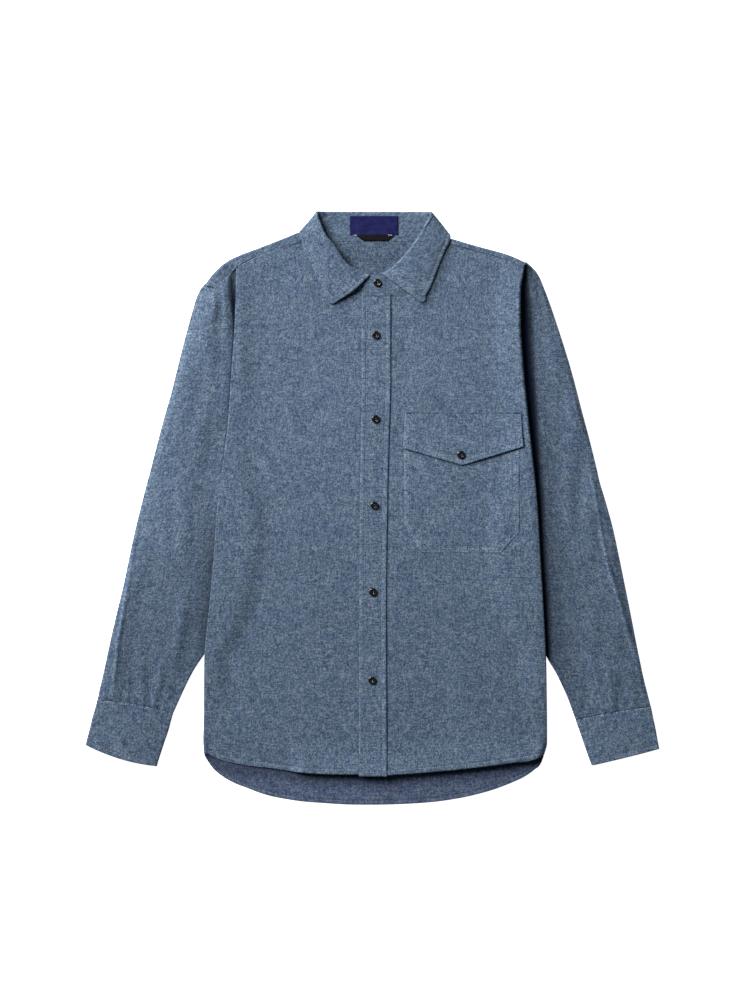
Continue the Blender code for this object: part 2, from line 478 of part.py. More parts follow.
def yoke(mat):
    """Yoke: flat across the back, folded over both shoulders to the front seams.

    Columns run from the back seam up; on the shoulders they carry on round the fold,
    and between them they stop at the neck seam.
    """
    left, right = np.array(YOKE_COLUMNS["left"]), np.array(YOKE_COLUMNS["right"])
    neck = np.linspace(*YOKE_NECK, YOKE_COLUMNS["neck"])
    ends = {name: np.concatenate([through(rows, np.arange(len(table[name])), table[name])
                                  for rows, table in ((left, LEFT_SHOULDER),
                                                      (right, RIGHT_SHOULDER))])
            for name in LEFT_SHOULDER}
    fold = np.stack([ends["fold_x"], ends["fold_y"]], axis=-1)
    seam = np.stack([ends["seam_x"], ends["seam_y"]], axis=-1)
    over = unit(seam - fold)
    fold = fold + over * WALL / 2
    low = FLOOR_MID + neck_lift(fold[:, 0], fold[:, 1])
    radius = (front_height(seam[:, 0], seam[:, 1]) - low) / 2
    turn = np.radians(np.linspace(270, 90, YOKE_COLUMNS["round"]))
    arc = fold[:, None] + over[:, None] * (radius[:, None] * (1 + np.cos(turn)))[..., None]
    arc_z = low[:, None] + radius[:, None] * (1 + np.sin(turn))
    strip = arc[:, -1:] + (seam[:, None] - arc[:, -1:]) * np.array([0.5, 1.0])[None, :, None]
    strip_z = np.repeat(arc_z[:, -1:], 2, axis=1)
    shoulder = np.concatenate([np.concatenate([arc, strip], axis=1),
                               np.concatenate([arc_z, strip_z], axis=1)[..., None]], axis=-1)
    n_left, n_neck = len(left), len(neck)
    stops = columns(COLLAR, COLLAR_COLUMNS, neck)
    neck_top = np.stack([stops["nx"], stops["ny"] - 2 * SEAM], axis=-1)
    tops = np.concatenate([shoulder[:n_left, 0, :2], neck_top, shoulder[n_left:, 0, :2]])
    feet_x = np.concatenate([np.linspace(YOKE_FOOT["left"], -YOKE_FOOT["neck"], n_left),
                             np.linspace(-YOKE_FOOT["neck"], YOKE_FOOT["neck"],
                                         n_neck + 2)[1:-1],
                             np.linspace(YOKE_FOOT["neck"], YOKE_FOOT["right"], len(right))])
    feet = np.stack([feet_x, np.full(len(feet_x), BACK_SEAM_Y)], axis=-1)
    up = np.array(YOKE_ROWS)[None, :, None]
    flat = feet[:, None] + (tops - feet)[:, None] * up
    flat_z = FLOOR_MID + neck_lift(flat[..., 0], flat[..., 1])
    # Between the shoulders the rows past the neck seam only carry the grid on.
    blank_left = shoulder[n_left - 1][None] + np.array([1.0, 0, 0]) * np.arange(1, n_neck + 1)[
        :, None, None]
    blank_left[:, 0, :2] = neck_top
    blank_left[:, 0, 2] = FLOOR_MID + neck_lift(neck_top[:, 0], neck_top[:, 1])
    upper = np.concatenate([shoulder[:n_left], blank_left, shoulder[n_left:]])
    grid = np.concatenate([np.concatenate([flat, flat_z[..., None]], axis=-1), upper], axis=1)
    cut = np.zeros((grid.shape[0] - 1, grid.shape[1] - 1), bool)
    cut[n_left - 1:n_left + n_neck, flat.shape[1]:] = True
    return cloth("yoke", grid, mat, cut=cut)


# ---------------------------------------------------------------- collar

def collar_section(at):
    """Neck point, leaf edge, centre and radius of the roll, and the roll's directions."""
    c = columns(COLLAR, COLLAR_COLUMNS, at)
    neck = np.stack([c["nx"], c["ny"], c["nz"]], axis=-1)
    roll = np.stack([c["rx"], c["ry"], c["rz"]], axis=-1)
    edge = np.stack([c["ex"], c["ey"], c["ez"]], axis=-1)
    radius = c["roll"][:, None]
    ahead = columns(COLLAR, COLLAR_COLUMNS, at + TANGENT_REACH)
    behind = columns(COLLAR, COLLAR_COLUMNS, at - TANGENT_REACH)
    outward = unit(np.stack([behind["ry"] - ahead["ry"], ahead["rx"] - behind["rx"],
                             0 * at], axis=-1))
    lean = np.radians(c["lean"])[:, None]
    up = np.array([[0.0, 0.0, 1.0]])
    across = np.cos(lean) * outward + np.sin(lean) * up
    out = np.cos(lean) * up - np.sin(lean) * outward
    return neck, edge, roll - radius * out, radius, out, across


def roll_points(centre, radius, out, across, turns):
    """Points round the roll: 0 degrees at the stand, 180 at the leaf."""
    angle = np.radians(turns)[None, :, None]
    return centre[:, None] + radius[:, None] * (-np.cos(angle) * across[:, None]
                                                + np.sin(angle) * out[:, None])


def stand_grid(at, up=4, round_steps=3):
    neck, _, centre, radius, out, across = collar_section(at)
    rolled = roll_points(centre, radius, out, across,
                         np.linspace(0, STAND_TOP_TURN, round_steps))
    share = np.linspace(0, 1, up)[None, :-1, None]
    rising = neck[:, None] + (rolled[:, :1] - neck[:, None]) * share
    return np.concatenate([rising, rolled], axis=1)


def leaf_grid(at, down=5, round_steps=5):
    _, edge, centre, radius, out, across = collar_section(at)
    gap = np.degrees(STAND_TOP_GAP / np.mean(radius))
    rolled = roll_points(centre, radius, out, across,
                         np.linspace(STAND_TOP_TURN + gap, 180, round_steps))
    share = np.linspace(0, 1, down)[None, 1:, None]
    falling = rolled[:, -1:] + (edge[:, None] - rolled[:, -1:]) * share
    swell = across[:, None] * np.maximum(across[:, None, 2:], 0)
    falling = falling + swell * LEAF_SWELL * 4 * share * (1 - share)
    return np.concatenate([rolled, falling], axis=1)


def collar(mat):
    cloth("collar_stand", stand_grid(np.linspace(0, len(COLLAR) - 1, 51)), mat)
    cloth("collar_leaf", leaf_grid(np.linspace(LEAF_FIRST, LEAF_LAST, 41)), mat)


def back_stand_height(y):
    """Middle of the stand's back, which is straight between neck seam and roll."""
    foot, top = stand_grid(np.array([12.0]), up=2)[0][:2]
    return foot[2] + (top[2] - foot[2]) * (y - foot[1]) / (top[1] - foot[1])


def labels(label_mat, tab_mat):
    share = np.linspace(0, 1, 7)
    x = LABEL["left"] + (LABEL["right"] - LABEL["left"]) * share[:, None]
    y = LABEL["foot"] + (LABEL["top"] - LABEL["foot"]) * np.linspace(0, 1, 4)[None, :]
    x, y = np.broadcast_arrays(x, y)
    proud = WALL / 2 + SEAM + LABEL["wall"] / 2
    grid = np.stack([x, y, back_stand_height(y) + proud], axis=-1)
    cloth("label", grid, label_mat, wall=LABEL["wall"])
    down = np.linspace(0, 1, 3)[None, :]
    left = TAB["top_left"] + (TAB["foot_left"] - TAB["top_left"]) * down
    right = TAB["top_right"] + (TAB["foot_right"] - TAB["top_right"]) * down
    x = left + (right - left) * share[:, None]
    y = TAB["top"] + (TAB["foot"] - TAB["top"]) * down + 0 * x
    grid = np.stack([x, y, back_stand_height(y) + proud], axis=-1)
    cloth("label_tab", grid, tab_mat, wall=TAB["wall"])


# ---------------------------------------------------------------- sleeves and cuffs

def sleeve_grid(table, rows, front_steps=10, back_steps=4, top_drop=None, bow=(0.0, 0.0),
                fold_steps=4):
    """Flattened tube, open along the inner side where it meets the body.

    Columns run from the end of the inner fold over the front layer, round the outer
    fold and back along the layer on the surface.
    """
    at = np.linspace(0, len(table) - 1, rows)
    c = columns(table, SLEEVE_COLUMNS, at)
    outer = np.stack([c["ox"], c["oy"]], axis=-1)
    inner = np.stack([c["fx"], c["fy"]], axis=-1)
    under = np.stack([c["bx"], c["by"]], axis=-1)
    floor = FLOOR_MID
    across = unit(outer - inner)
    r_in = (c["z_in"] - floor) / 2
    r_out = (c["z_out"] - floor) / 2
    closed = c["closed"]
    outer = outer - across * WALL / 2
    # Inner fold: a strip that is straight where the sleeve is open, and turns down and
    # back under the front layer where it is closed.
    full_turn = np.radians(INNER_TURN)
    strip = r_in * full_turn
    start = inner + across * (strip * (1 - closed) + (r_in + WALL / 2) * closed)[:, None]
    bend = full_turn * np.maximum(closed, 1e-3)
    steps = np.linspace(1, 0, fold_steps)[None, :-1]
    run = strip[:, None] / bend[:, None]
    forward = run * np.sin(bend[:, None] * steps)
    fall = run * (1 - np.cos(bend[:, None] * steps))
    fold = start[:, None] - across[:, None] * forward[..., None]
    fold_z = c["z_in"][:, None] - fall
    # Front layer.
    share = np.linspace(0, 1, front_steps)[None, :]
    crest = outer - across * r_out[:, None]
    front = start[:, None] + (crest - start)[:, None] * share[..., None]
    length = np.linalg.norm(crest - start, axis=-1)[:, None]
    beside = length * share
    front_z = (c["z_in"][:, None]
               + (c["z_mid"] - c["z_in"])[:, None]
               * ease((beside - c["low"][:, None]) / c["climb"][:, None])
               + (c["z_out"] - c["z_mid"])[:, None] * ease((beside - length) / OUTER_EASE + 1))
    # Outer fold.
    turn = np.radians(np.linspace(90, -90, fold_steps + 1))[None, 1:]
    outer_fold = crest[:, None] + across[:, None] * (r_out[:, None] * np.cos(turn))[..., None]
    outer_z = floor + r_out[:, None] * (1 + np.sin(turn))
    # Back layer.
    meet = fold[:, 0] + across * 1.5 * SEAM
    end = under + (meet - under) * closed[:, None]
    share_back = np.linspace(0, 1, back_steps + 1)[None, 1:]
    rear = crest[:, None] + (end - crest)[:, None] * share_back[..., None]
    rear_z = np.full(rear.shape[:2], floor)
    plan = np.concatenate([fold, front, outer_fold, rear], axis=1)
    z = np.concatenate([fold_z, front_z, outer_z, rear_z], axis=1)
    grid = np.concatenate([plan, z[..., None]], axis=-1)
    # Bows of the two ends, and the dropped top edge at the shoulder.
    along = np.linspace(0, 1, rows)[:, None]
    n_fold, n_front = fold.shape[1], front.shape[1]
    out_share = np.concatenate([np.zeros(n_fold), share[0], np.ones(turn.shape[1]),
                                1 - share_back[0]])[None, :]
    belly = 4 * out_share * (1 - out_share)
    grid[..., 1] += belly * (bow[0] * (1 - along) ** BOW_POWER + bow[1] * along ** BOW_POWER)
    if top_drop:
        travel = np.concatenate([[0], np.cumsum(np.linalg.norm(np.diff(outer, axis=0),
                                                               axis=-1))])[:, None]
        fade = (1 - ease(travel / HEAD_REACH))
        drop = np.interp(out_share, top_drop["share"], top_drop["drop"])
        drop[:, n_fold + n_front:] = 0
        grid[..., 1] += drop * fade
    return grid


def sleeves(mat):
    left = sleeve_grid(SLEEVE_LEFT_SIDE, 22, top_drop=LEFT_HEAD_DROP,
                       bow=(0.0, SEAM_BOW["left"]))
    right = sleeve_grid(SLEEVE_RIGHT_SIDE, 22, bow=(0.0, SEAM_BOW["right"]))
    cloth("sleeve_right", left, mat)
    cloth("sleeve_left", right, mat)


def cuffs(mat):
    left = sleeve_grid(CUFF_LEFT_SIDE, 4, front_steps=8,
                       bow=(SEAM_BOW["left"], OPEN_END_BOW["left"]))
    right = sleeve_grid(CUFF_RIGHT_SIDE, 4, front_steps=8,
                        bow=(SEAM_BOW["right"], OPEN_END_BOW["right"]))
    cloth("cuff_right", left, mat)
    cloth("cuff_left", right, mat)


# ---------------------------------------------------------------- pieces on the front

def placket(mat):
    """Buttonhole band: the front's points, moved out by one layer."""
    y = np.linspace(PLACKET["y"][0], PLACKET["y"][-1] - SEAM, 20)[:, None]
    share = np.linspace(0, 1, 4)[None, :]
    left, right = placket_edge("left", y), placket_edge("right", y)
    x = left + (right - left) * share
    y = y + 0 * x
    cloth("placket", np.stack([x, y, front_height(x, y) + LAYER], axis=-1), mat)


def pocket(mat):
    x = np.unique(np.concatenate([POCKET_FOOT["x"], np.linspace(88, 190, 14), [54]]))
    foot = np.interp(x, POCKET_FOOT["x"], POCKET_FOOT["y"])
    up = np.linspace(0, 1, 10)[:, None]
    y = foot[None, :] + (POCKET_TOP - foot[None, :]) * up
    x = x[None, :] + 0 * y
    cloth("pocket", np.stack([x, y, front_height(x, y) + LAYER + PATCH_REST],
                             axis=-1), mat)


def flap(mat):
    x = np.unique(np.concatenate([FLAP_POINT["x"], np.linspace(40.5, 204.5, 9)]))
    foot = np.interp(x, FLAP_POINT["x"], FLAP_POINT["y"])
    up = np.linspace(0, 1, 5)[:, None]
    y = foot[None, :] + (FLAP_TOP - foot[None, :]) * up
    middle = (x[0] + x[-1]) / 2
    x = middle + (x[None, :] - middle) * (1 - up * FLAP_SIDE_LEAN * 2 / (x[-1] - x[0]))
    z = front_height(x, y) + 2 * (LAYER + PATCH_REST)
    cloth("pocket_flap", np.stack([x, y, z], axis=-1), mat)


def button(name, x, y, floor, mat):
    """Turned disc with a raised rim and a sunk middle."""
    profile = np.array(BUTTON_PROFILE)
    angle = np.linspace(0, 2 * np.pi, BUTTON_SEGMENTS, endpoint=False)
    points = [(x, y, floor + profile[0, 1])]
    for r, z in profile[1:-1]:
        points += [(x + r * np.cos(a), y + r * np.sin(a), floor + z) for a in angle]
    points.append((x, y, floor + profile[-1, 1]))
    rings = len(profile) - 2
    n = BUTTON_SEGMENTS
    faces = []
    for k in range(n):
        step = (k + 1) % n
        faces.append((0, 1 + step, 1 + k))
        last = 1 + (rings - 1) * n
        faces.append((len(points) - 1, last + k, last + step))
        for ring in range(rings - 1):
            a, b = 1 + ring * n + k, 1 + ring * n + step
            faces.append((a, b, b + n, a + n))
    return add_object(name, points, faces, mat)


def buttons(mat):
    lies = {"placket": LAYER, "flap": 2 * (LAYER + PATCH_REST)}
    for name, x, y, on in BUTTONS:
        if on == "stand":
            under = stand_over_height(x, y)
        else:
            under = float(front_height(np.array(x), np.array(y))) + lies[on]
        button(name, x, y, under + WALL / 2 + SEAM, mat)


def stand_over_height(x, y):
    """Middle of the stand's upper end below a point, from the nearest of its points."""
    grid = stand_grid(np.linspace(LEAF_LAST - 1, len(COLLAR) - 1, 60), up=20).reshape(-1, 3)
    near = np.hypot(grid[:, 0] - x, grid[:, 1] - y) < BUTTON_RADIUS
    return float(grid[near, 2].max())


# ---------------------------------------------------------------- build

for obj in list(bpy.data.objects):
    bpy.data.objects.remove(obj, do_unlink=True)

chambray = material("chambray", CLOTH_FINISH)
black_button = material("button black", BUTTON_FINISH)
blue_label = material("label blue", LABEL_FINISH)
black_tape = material("tape black", TAB_FINISH)

back(chambray)
yoke(chambray)
right_front(chambray)
left_front(chambray)
placket(chambray)
collar(chambray)
labels(blue_label, black_tape)
sleeves(chambray)
cuffs(chambray)
pocket(chambray)
flap(chambray)
buttons(black_button)
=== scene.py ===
"""Looks of a chambray shirt with long sleeves, buttoned and laid flat on its back.

X runs to the right as the front is seen, Y up to the collar, Z up from the surface.
Lengths are millimetres until a mesh is made. Every cloth piece is a thin shell on the
form of its solid, with seams, stitch grooves and creases worked into its surface.
"""

import bpy
import numpy as np
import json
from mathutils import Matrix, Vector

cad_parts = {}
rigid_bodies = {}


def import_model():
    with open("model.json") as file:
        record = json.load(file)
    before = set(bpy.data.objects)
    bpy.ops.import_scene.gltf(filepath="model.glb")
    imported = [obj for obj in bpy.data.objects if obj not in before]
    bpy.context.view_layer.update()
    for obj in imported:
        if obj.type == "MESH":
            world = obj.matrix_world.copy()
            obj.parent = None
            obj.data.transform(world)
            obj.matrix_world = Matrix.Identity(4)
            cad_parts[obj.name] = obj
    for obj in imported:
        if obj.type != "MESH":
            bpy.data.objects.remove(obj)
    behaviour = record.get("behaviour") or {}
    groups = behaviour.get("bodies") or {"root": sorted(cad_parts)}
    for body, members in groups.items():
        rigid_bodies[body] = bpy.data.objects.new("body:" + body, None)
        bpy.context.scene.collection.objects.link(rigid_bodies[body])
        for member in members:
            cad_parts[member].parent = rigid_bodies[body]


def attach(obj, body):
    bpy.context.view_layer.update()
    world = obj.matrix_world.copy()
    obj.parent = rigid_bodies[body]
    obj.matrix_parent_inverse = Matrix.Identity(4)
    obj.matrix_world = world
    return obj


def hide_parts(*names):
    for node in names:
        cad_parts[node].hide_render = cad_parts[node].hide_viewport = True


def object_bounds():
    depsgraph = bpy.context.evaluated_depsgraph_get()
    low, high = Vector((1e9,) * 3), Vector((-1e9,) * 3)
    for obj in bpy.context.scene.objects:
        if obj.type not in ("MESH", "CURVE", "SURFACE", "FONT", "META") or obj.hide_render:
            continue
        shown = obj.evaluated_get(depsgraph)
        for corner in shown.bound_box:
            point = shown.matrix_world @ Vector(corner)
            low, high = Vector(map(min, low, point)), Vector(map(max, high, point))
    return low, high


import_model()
SOLID_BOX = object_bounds()

MM = 0.001

# Cloth
WALL = 1.2             # chambray with its turnings
SEAM = 0.3             # gap left between two pieces at a seam
LAYER = WALL + SEAM    # middle to middle of two pieces that lie on each other
FLOOR_MID = WALL / 2   # middle of a layer that lies on the surface
FRONT_MID = 4.8        # middle of the front panels over the flat back

# Body
BACK_SEAM_Y = 255.0    # yoke seam across the back
BACK_INSET = 4.0       # the back's side edge lies this far inside the rolled front edge
TUCK_LIFT = 4.3        # the back rises this much where it lies over a sleeve
TUCK_SLOPE = 32.0      # and comes down over this width
TUCK_TOP_Y, TUCK_TOP_EASE = 102, 42.0        # where that rise starts below the arm
TUCK_FOOT_Y, TUCK_FOOT_EASE = -295, 90.0     # and where it has died out again
HEM_Y, HEM_EASE = -335, 30.0                 # the back is full width again at its hem
BACK_CLEAR = 0.5       # least the back's edge lies inside the front's
EDGE_SWELL = 45.0      # width over which a front rises to its rolled side edge
FOLD_RETURN = 3.0      # flat cloth that carries on under the rolled edge
UNDERLAP = 4.0         # the placket lies over the front's edge by this much
TUCK_MARGIN = 7.0      # the back stays up this far past the sleeve's inner fold
CENTRE_TOP_Y, CENTRE_FOOT_Y = 290, -360.0    # where the fronts' centre edges end

# Side edges of the body: height up the shirt, place across, middle of what the
# rolled edge lies on, radius of the roll.
LEFT_EDGE = dict(
    y=[-339, -317, -290, -254, -200, -144, -70, -2, 60, 78, 95, 185, 265, 300, 331],
    x=[-232.5, -234.2, -233.3, -233, -232, -226.5, -219.8, -214.8, -207, -204.6,
       -202.4, -195.4, -190.2, -189.2, -189],
    on=[0.6, 0.6, 0.7, 3.1, 4.9, 4.9, 4.9, 4.9, 4.9, 3.6, 3.1, 3, 3, 2.6, 2.4],
    roll=[1.35, 1.35, 1.35, 1.4, 1.4, 1.4, 1.4, 1.4, 1.4, 1.7, 1.9, 1.9, 1.9, 1.7, 1.35])
RIGHT_EDGE = dict(
    y=[-339, -321, -290, -254, -206, -125, -70, -2, 60, 78, 95, 133, 196, 248, 296, 331],
    x=[233, 237.8, 237.7, 237.2, 236.2, 232.4, 229, 225.2, 219.4, 217.4, 215.5, 211.5,
       205.5, 201.9, 201.8, 207],
    on=[0.6, 0.6, 0.7, 3.1, 4.9, 4.9, 4.9, 4.9, 4.9, 3.6, 3, 2.1, 2.1, 2.1, 2.1, 2.1],
    roll=[1.35, 1.35, 1.4, 1.5, 1.8, 1.8, 1.8, 2, 2.4, 3, 3.4, 3.8, 4.2, 4.6, 4.2, 2])

# Hems: place across, height.
FRONT_HEM_RIGHT_SIDE = dict(x=[-229, -214.5, -183, -143.5, -112, -80.5, 17],
                            y=[-336, -343, -351, -355.5, -360, -362.5, -363])
FRONT_HEM_LEFT_SIDE = dict(x=[14, 74.5, 141.5, 191, 224.5, 233],
                           y=[-365, -360.5, -354, -347.5, -342, -337.5])
BACK_HEM = dict(
    x=[-232, -223, -208, -194, -173.5, -151.5, -112, -66.5, -23, 33.5, 104, 144.5, 171.5,
       192, 209, 220.8, 230.8, 233.5],
    y=[-339, -352.8, -366.5, -374.7, -382.9, -391, -399.3, -403.8, -405.8, -405.2, -399.3,
       -391, -382.9, -374.7, -366.5, -358, -347.5, -340])

# Shoulders, from the sleeve to the neck: the fold at the top and the front yoke seam.
LEFT_SHOULDER = dict(fold_x=[-229.2, -220, -202.5, -184.5, -153, -120, -106, -97],
                     fold_y=[305.4, 318.5, 335, 344.5, 357, 369.8, 375.4, 377],
                     seam_x=[-215, -206.5, -197, -184.5, -158.5, -127, -109, -97.5],
                     seam_y=[301, 309, 320, 333, 346, 354.5, 361.6, 366])
RIGHT_SHOULDER = dict(fold_x=[207.5, 181, 143, 112, 100.5],
                      fold_y=[335, 346.5, 357, 366, 368],
                      seam_x=[205, 180, 142, 112.5, 101.5],
                      seam_y=[330.5, 342, 352.6, 361, 364.5])

# Yoke: its ends along the back seam and the collar rows its neck seam runs between.
YOKE_FOOT = dict(left=-187, neck=97, right=197)
YOKE_NECK = (9.35, 14.65)

# Placket: height, left edge, right edge.
PLACKET = dict(y=[-366, -139, -33, 72, 176, 290],
               left=[-20, -19, -18.8, -17.3, -16, -16],
               right=[18, 17, 18, 20, 23, 23])

# Collar, one row for each station from the wearer's right round the back to the left:
# neck seam, roll line and outer edge of the leaf, each across, up and high, and the
# radius of the roll, and how the collar leans: 90 folded in over the stand, 0 upright,
# -90 folded out with the leaf below. The end rows are the stand's ends, past the leaf.
COLLAR_COLUMNS = ("nx", "ny", "nz", "rx", "ry", "rz", "ex", "ey", "ez", "roll", "lean")
COLLAR = [
    (18, 290.5, 4.8, 17, 319, 5.6, 17, 286, 8, 0.9, 90),
    (2, 290.5, 4.8, 4, 319.5, 5.8, -10, 284, 8, 1.2, 90),
    (-14.5, 291, 4.8, -6.5, 320, 7.3, -54.8, 280, 6.45, 1.9, 90),
    (-22, 292.5, 4.8, -14, 322.5, 7.8, -64, 290, 6.45, 1.9, 90),
    (-38, 298, 4.8, -23, 326.5, 9, -70, 303.5, 6.45, 2, 90),
    (-56, 308, 4.8, -38, 336.5, 11, -78.5, 320.5, 6.45, 2.1, 90),
    (-76.5, 326, 4.8, -53, 358.5, 12.5, -87.5, 340.5, 6.45, 2.1, 85),
    (-91.5, 344.5, 4.8, -65.5, 374, 13.5, -93.5, 356, 6.45, 2.1, 75),
    (-97, 359.5, 4.8, -72.5, 388.5, 13.5, -99, 369, 6.45, 2.1, 55),
    (-98, 369.5, 3.6, -77.5, 403, 11.5, -101.8, 378, 6.2, 2, 10),
    (-88, 368, 2.3, -71, 406, 6.5, -95, 374, 0.8, 1.8, -60),
    (-60, 366, 2.1, -55, 406.3, 2.5, -62, 359.5, 0.6, 1.7, -90),
    (0.5, 365, 2.1, 0.5, 406.5, 2.4, 0.5, 357, 0.6, 1.7, -90),
    (61, 366, 2.1, 57, 406.3, 2.5, 63, 359.5, 0.6, 1.7, -90),
    (90, 368, 2.3, 73, 405.5, 6.5, 98, 372.5, 0.8, 1.8, -60),
    (101, 368.5, 3.6, 78.5, 402.5, 11.5, 104.5, 374.5, 5, 2, 10),
    (100.5, 357.5, 4.8, 69, 385.5, 12, 103.5, 366, 6.45, 2.1, 55),
    (93.5, 343.5, 4.8, 61.5, 372, 11.5, 98.5, 355.5, 6.45, 2.1, 75),
    (78.5, 326.5, 4.8, 51, 357.5, 10.8, 93, 342.5, 6.45, 2.1, 85),
    (62, 311, 4.8, 40, 344, 10, 86.5, 326, 6.45, 2, 90),
    (45.5, 299.5, 4.8, 29, 333.5, 9.6, 78.5, 305.5, 6.45, 1.8, 90),
    (27.5, 292.5, 5.2, 21, 327, 9.2, 71.6, 293, 6.5, 1.7, 90),
    (14, 290.8, 5.9, 12.5, 322, 9, 64.5, 283, 6.6, 1.5, 90),
    (-2, 290.8, 5.9, 1, 319.5, 8.2, 10, 286, 10, 0.9, 90),
    (-8.5, 290.8, 5.9, -7, 318, 8, -8.5, 286, 9.5, 0.9, 90),
    (-13.5, 290.8, 5.9, -12.8, 309, 7.5, -13.5, 286, 9, 0.9, 90)]
LEAF_FIRST, LEAF_LAST = 2, 22
STAND_TOP_TURN = 55.0   # degrees round the roll where the stand's top seam lies
STAND_TOP_GAP = 0.8     # between the stand's top and the leaf, round the roll
LEAF_SWELL = 1.2        # the leaf arches this much between its roll and its edge
TANGENT_REACH = 0.35    # rows each way over which the roll line's direction is taken
NECK_GAP = 0.9          # the fronts stop this far outside the stand, under the leaf
# Where the yoke rises over the leaf folded under it at the back.
LEAF_UNDER = dict(foot=334, foot_ease=16, side=108, side_ease=20)

# Sleeves, one row for each station from the shoulder to the cuff: outer fold, end of
# the front layer, end of the back layer, heights of the front layer's middle beside
# the body, along its centre and at the outer fold, width of the low stretch beside
# the body, width of the rise from it, and how far the inner side is folded closed.
SLEEVE_COLUMNS = ("ox", "oy", "fx", "fy", "bx", "by", "z_in", "z_mid", "z_out", "low",
                  "climb", "closed")
SLEEVE_LEFT_SIDE = [
    (-232.5, 307, -183, 331, -209.9, 281, 4.4, 6.4, 4.8, 5, 9, 0),
    (-239, 298, -182, 306, -194.2, 260.8, 2.8, 6.8, 4.8, 6, 11, 0),
    (-246.5, 278.5, -180.5, 277.5, -188.9, 240, 2.8, 6.4, 4.8, 6, 12, 0),
    (-262.5, 220, -183, 220, -190.6, 205, 3.2, 5.6, 4.8, 5, 12, 0),
    (-276.5, 163.5, -186, 163.5, -194, 155, 3.4, 5.4, 4.6, 5, 12, 0),
    (-286, 130, -188.5, 130, -195.4, 125, 3.4, 5.2, 4.6, 6, 12, 0),
    (-295.5, 95, -199, 96, -199, 92, 3, 5, 4.6, 3, 22, 0),
    (-306.5, 52, -204.5, 58, -206, 58, 3.2, 4.8, 4.4, 5, 25, 0.6),
    (-313, 28, -199.5, 36.5, -202.5, 36.5, 3.4, 4.8, 4.4, 10, 25, 1),
    (-318.5, 6, -190, 11.5, -193, 11.5, 3.4, 4.8, 4.4, 26, 22, 1),
    (-326.5, -26, -184.5, -22.5, -187, -22.5, 3.4, 4.8, 4.2, 32, 22, 1),
    (-335, -65, -186, -63.5, -189, -63.5, 3.4, 4.8, 4.2, 34, 22, 1),
    (-344, -108, -193, -105, -196, -105, 3.4, 4.8, 4.2, 30, 22, 1),
    (-354, -149, -202.5, -142, -205, -142, 3.4, 4.8, 4.2, 22, 22, 1),
    (-362, -184, -217.5, -176, -220, -176, 3.4, 4.8, 4, 12, 22, 1),
    (-368, -212, -233, -201, -236, -201, 3.4, 4.8, 4, 4, 22, 1),
    (-372.3, -232, -246.5, -221.5, -249, -221.5, 3.6, 4.8, 4, 0, 22, 1),
    (-376, -247, -258.5, -245, -261, -245, 3.6, 4.6, 3.8, 0, 22, 1),
    (-379.2, -262.3, -274.8, -280.8, -277, -280.8, 3.6, 4, 3.6, 0, 22, 1)]
SLEEVE_RIGHT_SIDE = [
    (209.5, 338, 190, 329, 209, 262, 2.4, 4.6, 4.6, 8, 6, 0),
    (223.5, 323.5, 192.5, 306, 198.2, 249, 2.1, 5.6, 4.8, 16, 9, 0),
    (233.5, 302, 190, 277.5, 199.4, 232, 2.1, 5.8, 4.8, 25, 9, 0),
    (247.5, 263.5, 190.5, 248, 200.6, 214, 2.1, 5.8, 4.8, 26, 10, 0),
    (269, 196, 195, 190, 203.8, 180, 2.1, 5.4, 4.8, 22, 11, 0),
    (285.5, 133.5, 200.5, 130, 209.6, 128, 2.1, 5.4, 4.8, 20, 12, 0),
    (295, 98, 209, 95, 209, 93, 2.2, 5.4, 4.8, 10, 12, 0),
    (304.5, 60, 212.5, 58, 214.5, 58, 2.8, 5.3, 4.6, 7, 14, 0.6),
    (310, 36, 209, 36.5, 212, 36.5, 3.2, 5.2, 4.6, 14, 16, 1),
    (317.5, 11, 203, 11.5, 206, 11.5, 3.4, 5.2, 4.6, 26, 18, 1),
    (327.5, -25, 193, -22.5, 196, -22.5, 3.4, 5.2, 4.4, 36, 20, 1),
    (336, -64, 193.5, -63.5, 196, -63.5, 3.4, 5, 4.4, 37, 20, 1),
    (345, -108, 199, -105, 202, -105, 3.4, 5, 4.4, 33, 20, 1),
    (353, -148, 208.5, -142, 211, -142, 3.4, 5, 4.2, 26, 20, 1),
    (360, -184, 222.5, -176, 225, -176, 3.4, 4.8, 4.2, 13, 20, 1),
    (365.5, -211, 237, -204, 240, -204, 3.4, 4.8, 4.2, 3, 20, 1),
    (370, -232, 250, -227, 253, -227, 3.6, 4.8, 4, 0, 20, 1),
    (375, -252, 264, -257, 266, -257, 3.6, 4.6, 3.8, 0, 20, 1),
    (380, -271.5, 276.3, -289.8, 282, -289.8, 3.6, 4, 3.6, 0, 20, 1)]

# The yoke's end at the left sleeve: share of the way out from the body, drop of the
# sleeve's top edge below a straight line.
LEFT_HEAD_DROP = dict(share=[0, 0.12, 0.45, 0.72, 0.9, 1], drop=[0, -1.5, -8.5, -11.5, -4, 0])
HEAD_REACH = 30.0       # the drop fades out over this length of sleeve
INNER_TURN = 165.0      # degrees the inner edge turns where the sleeve is closed
OUTER_EASE = 28.0       # width over which the front layer comes down to the outer fold
BOW_POWER = 6           # how fast the bow of a seam dies out along the sleeve

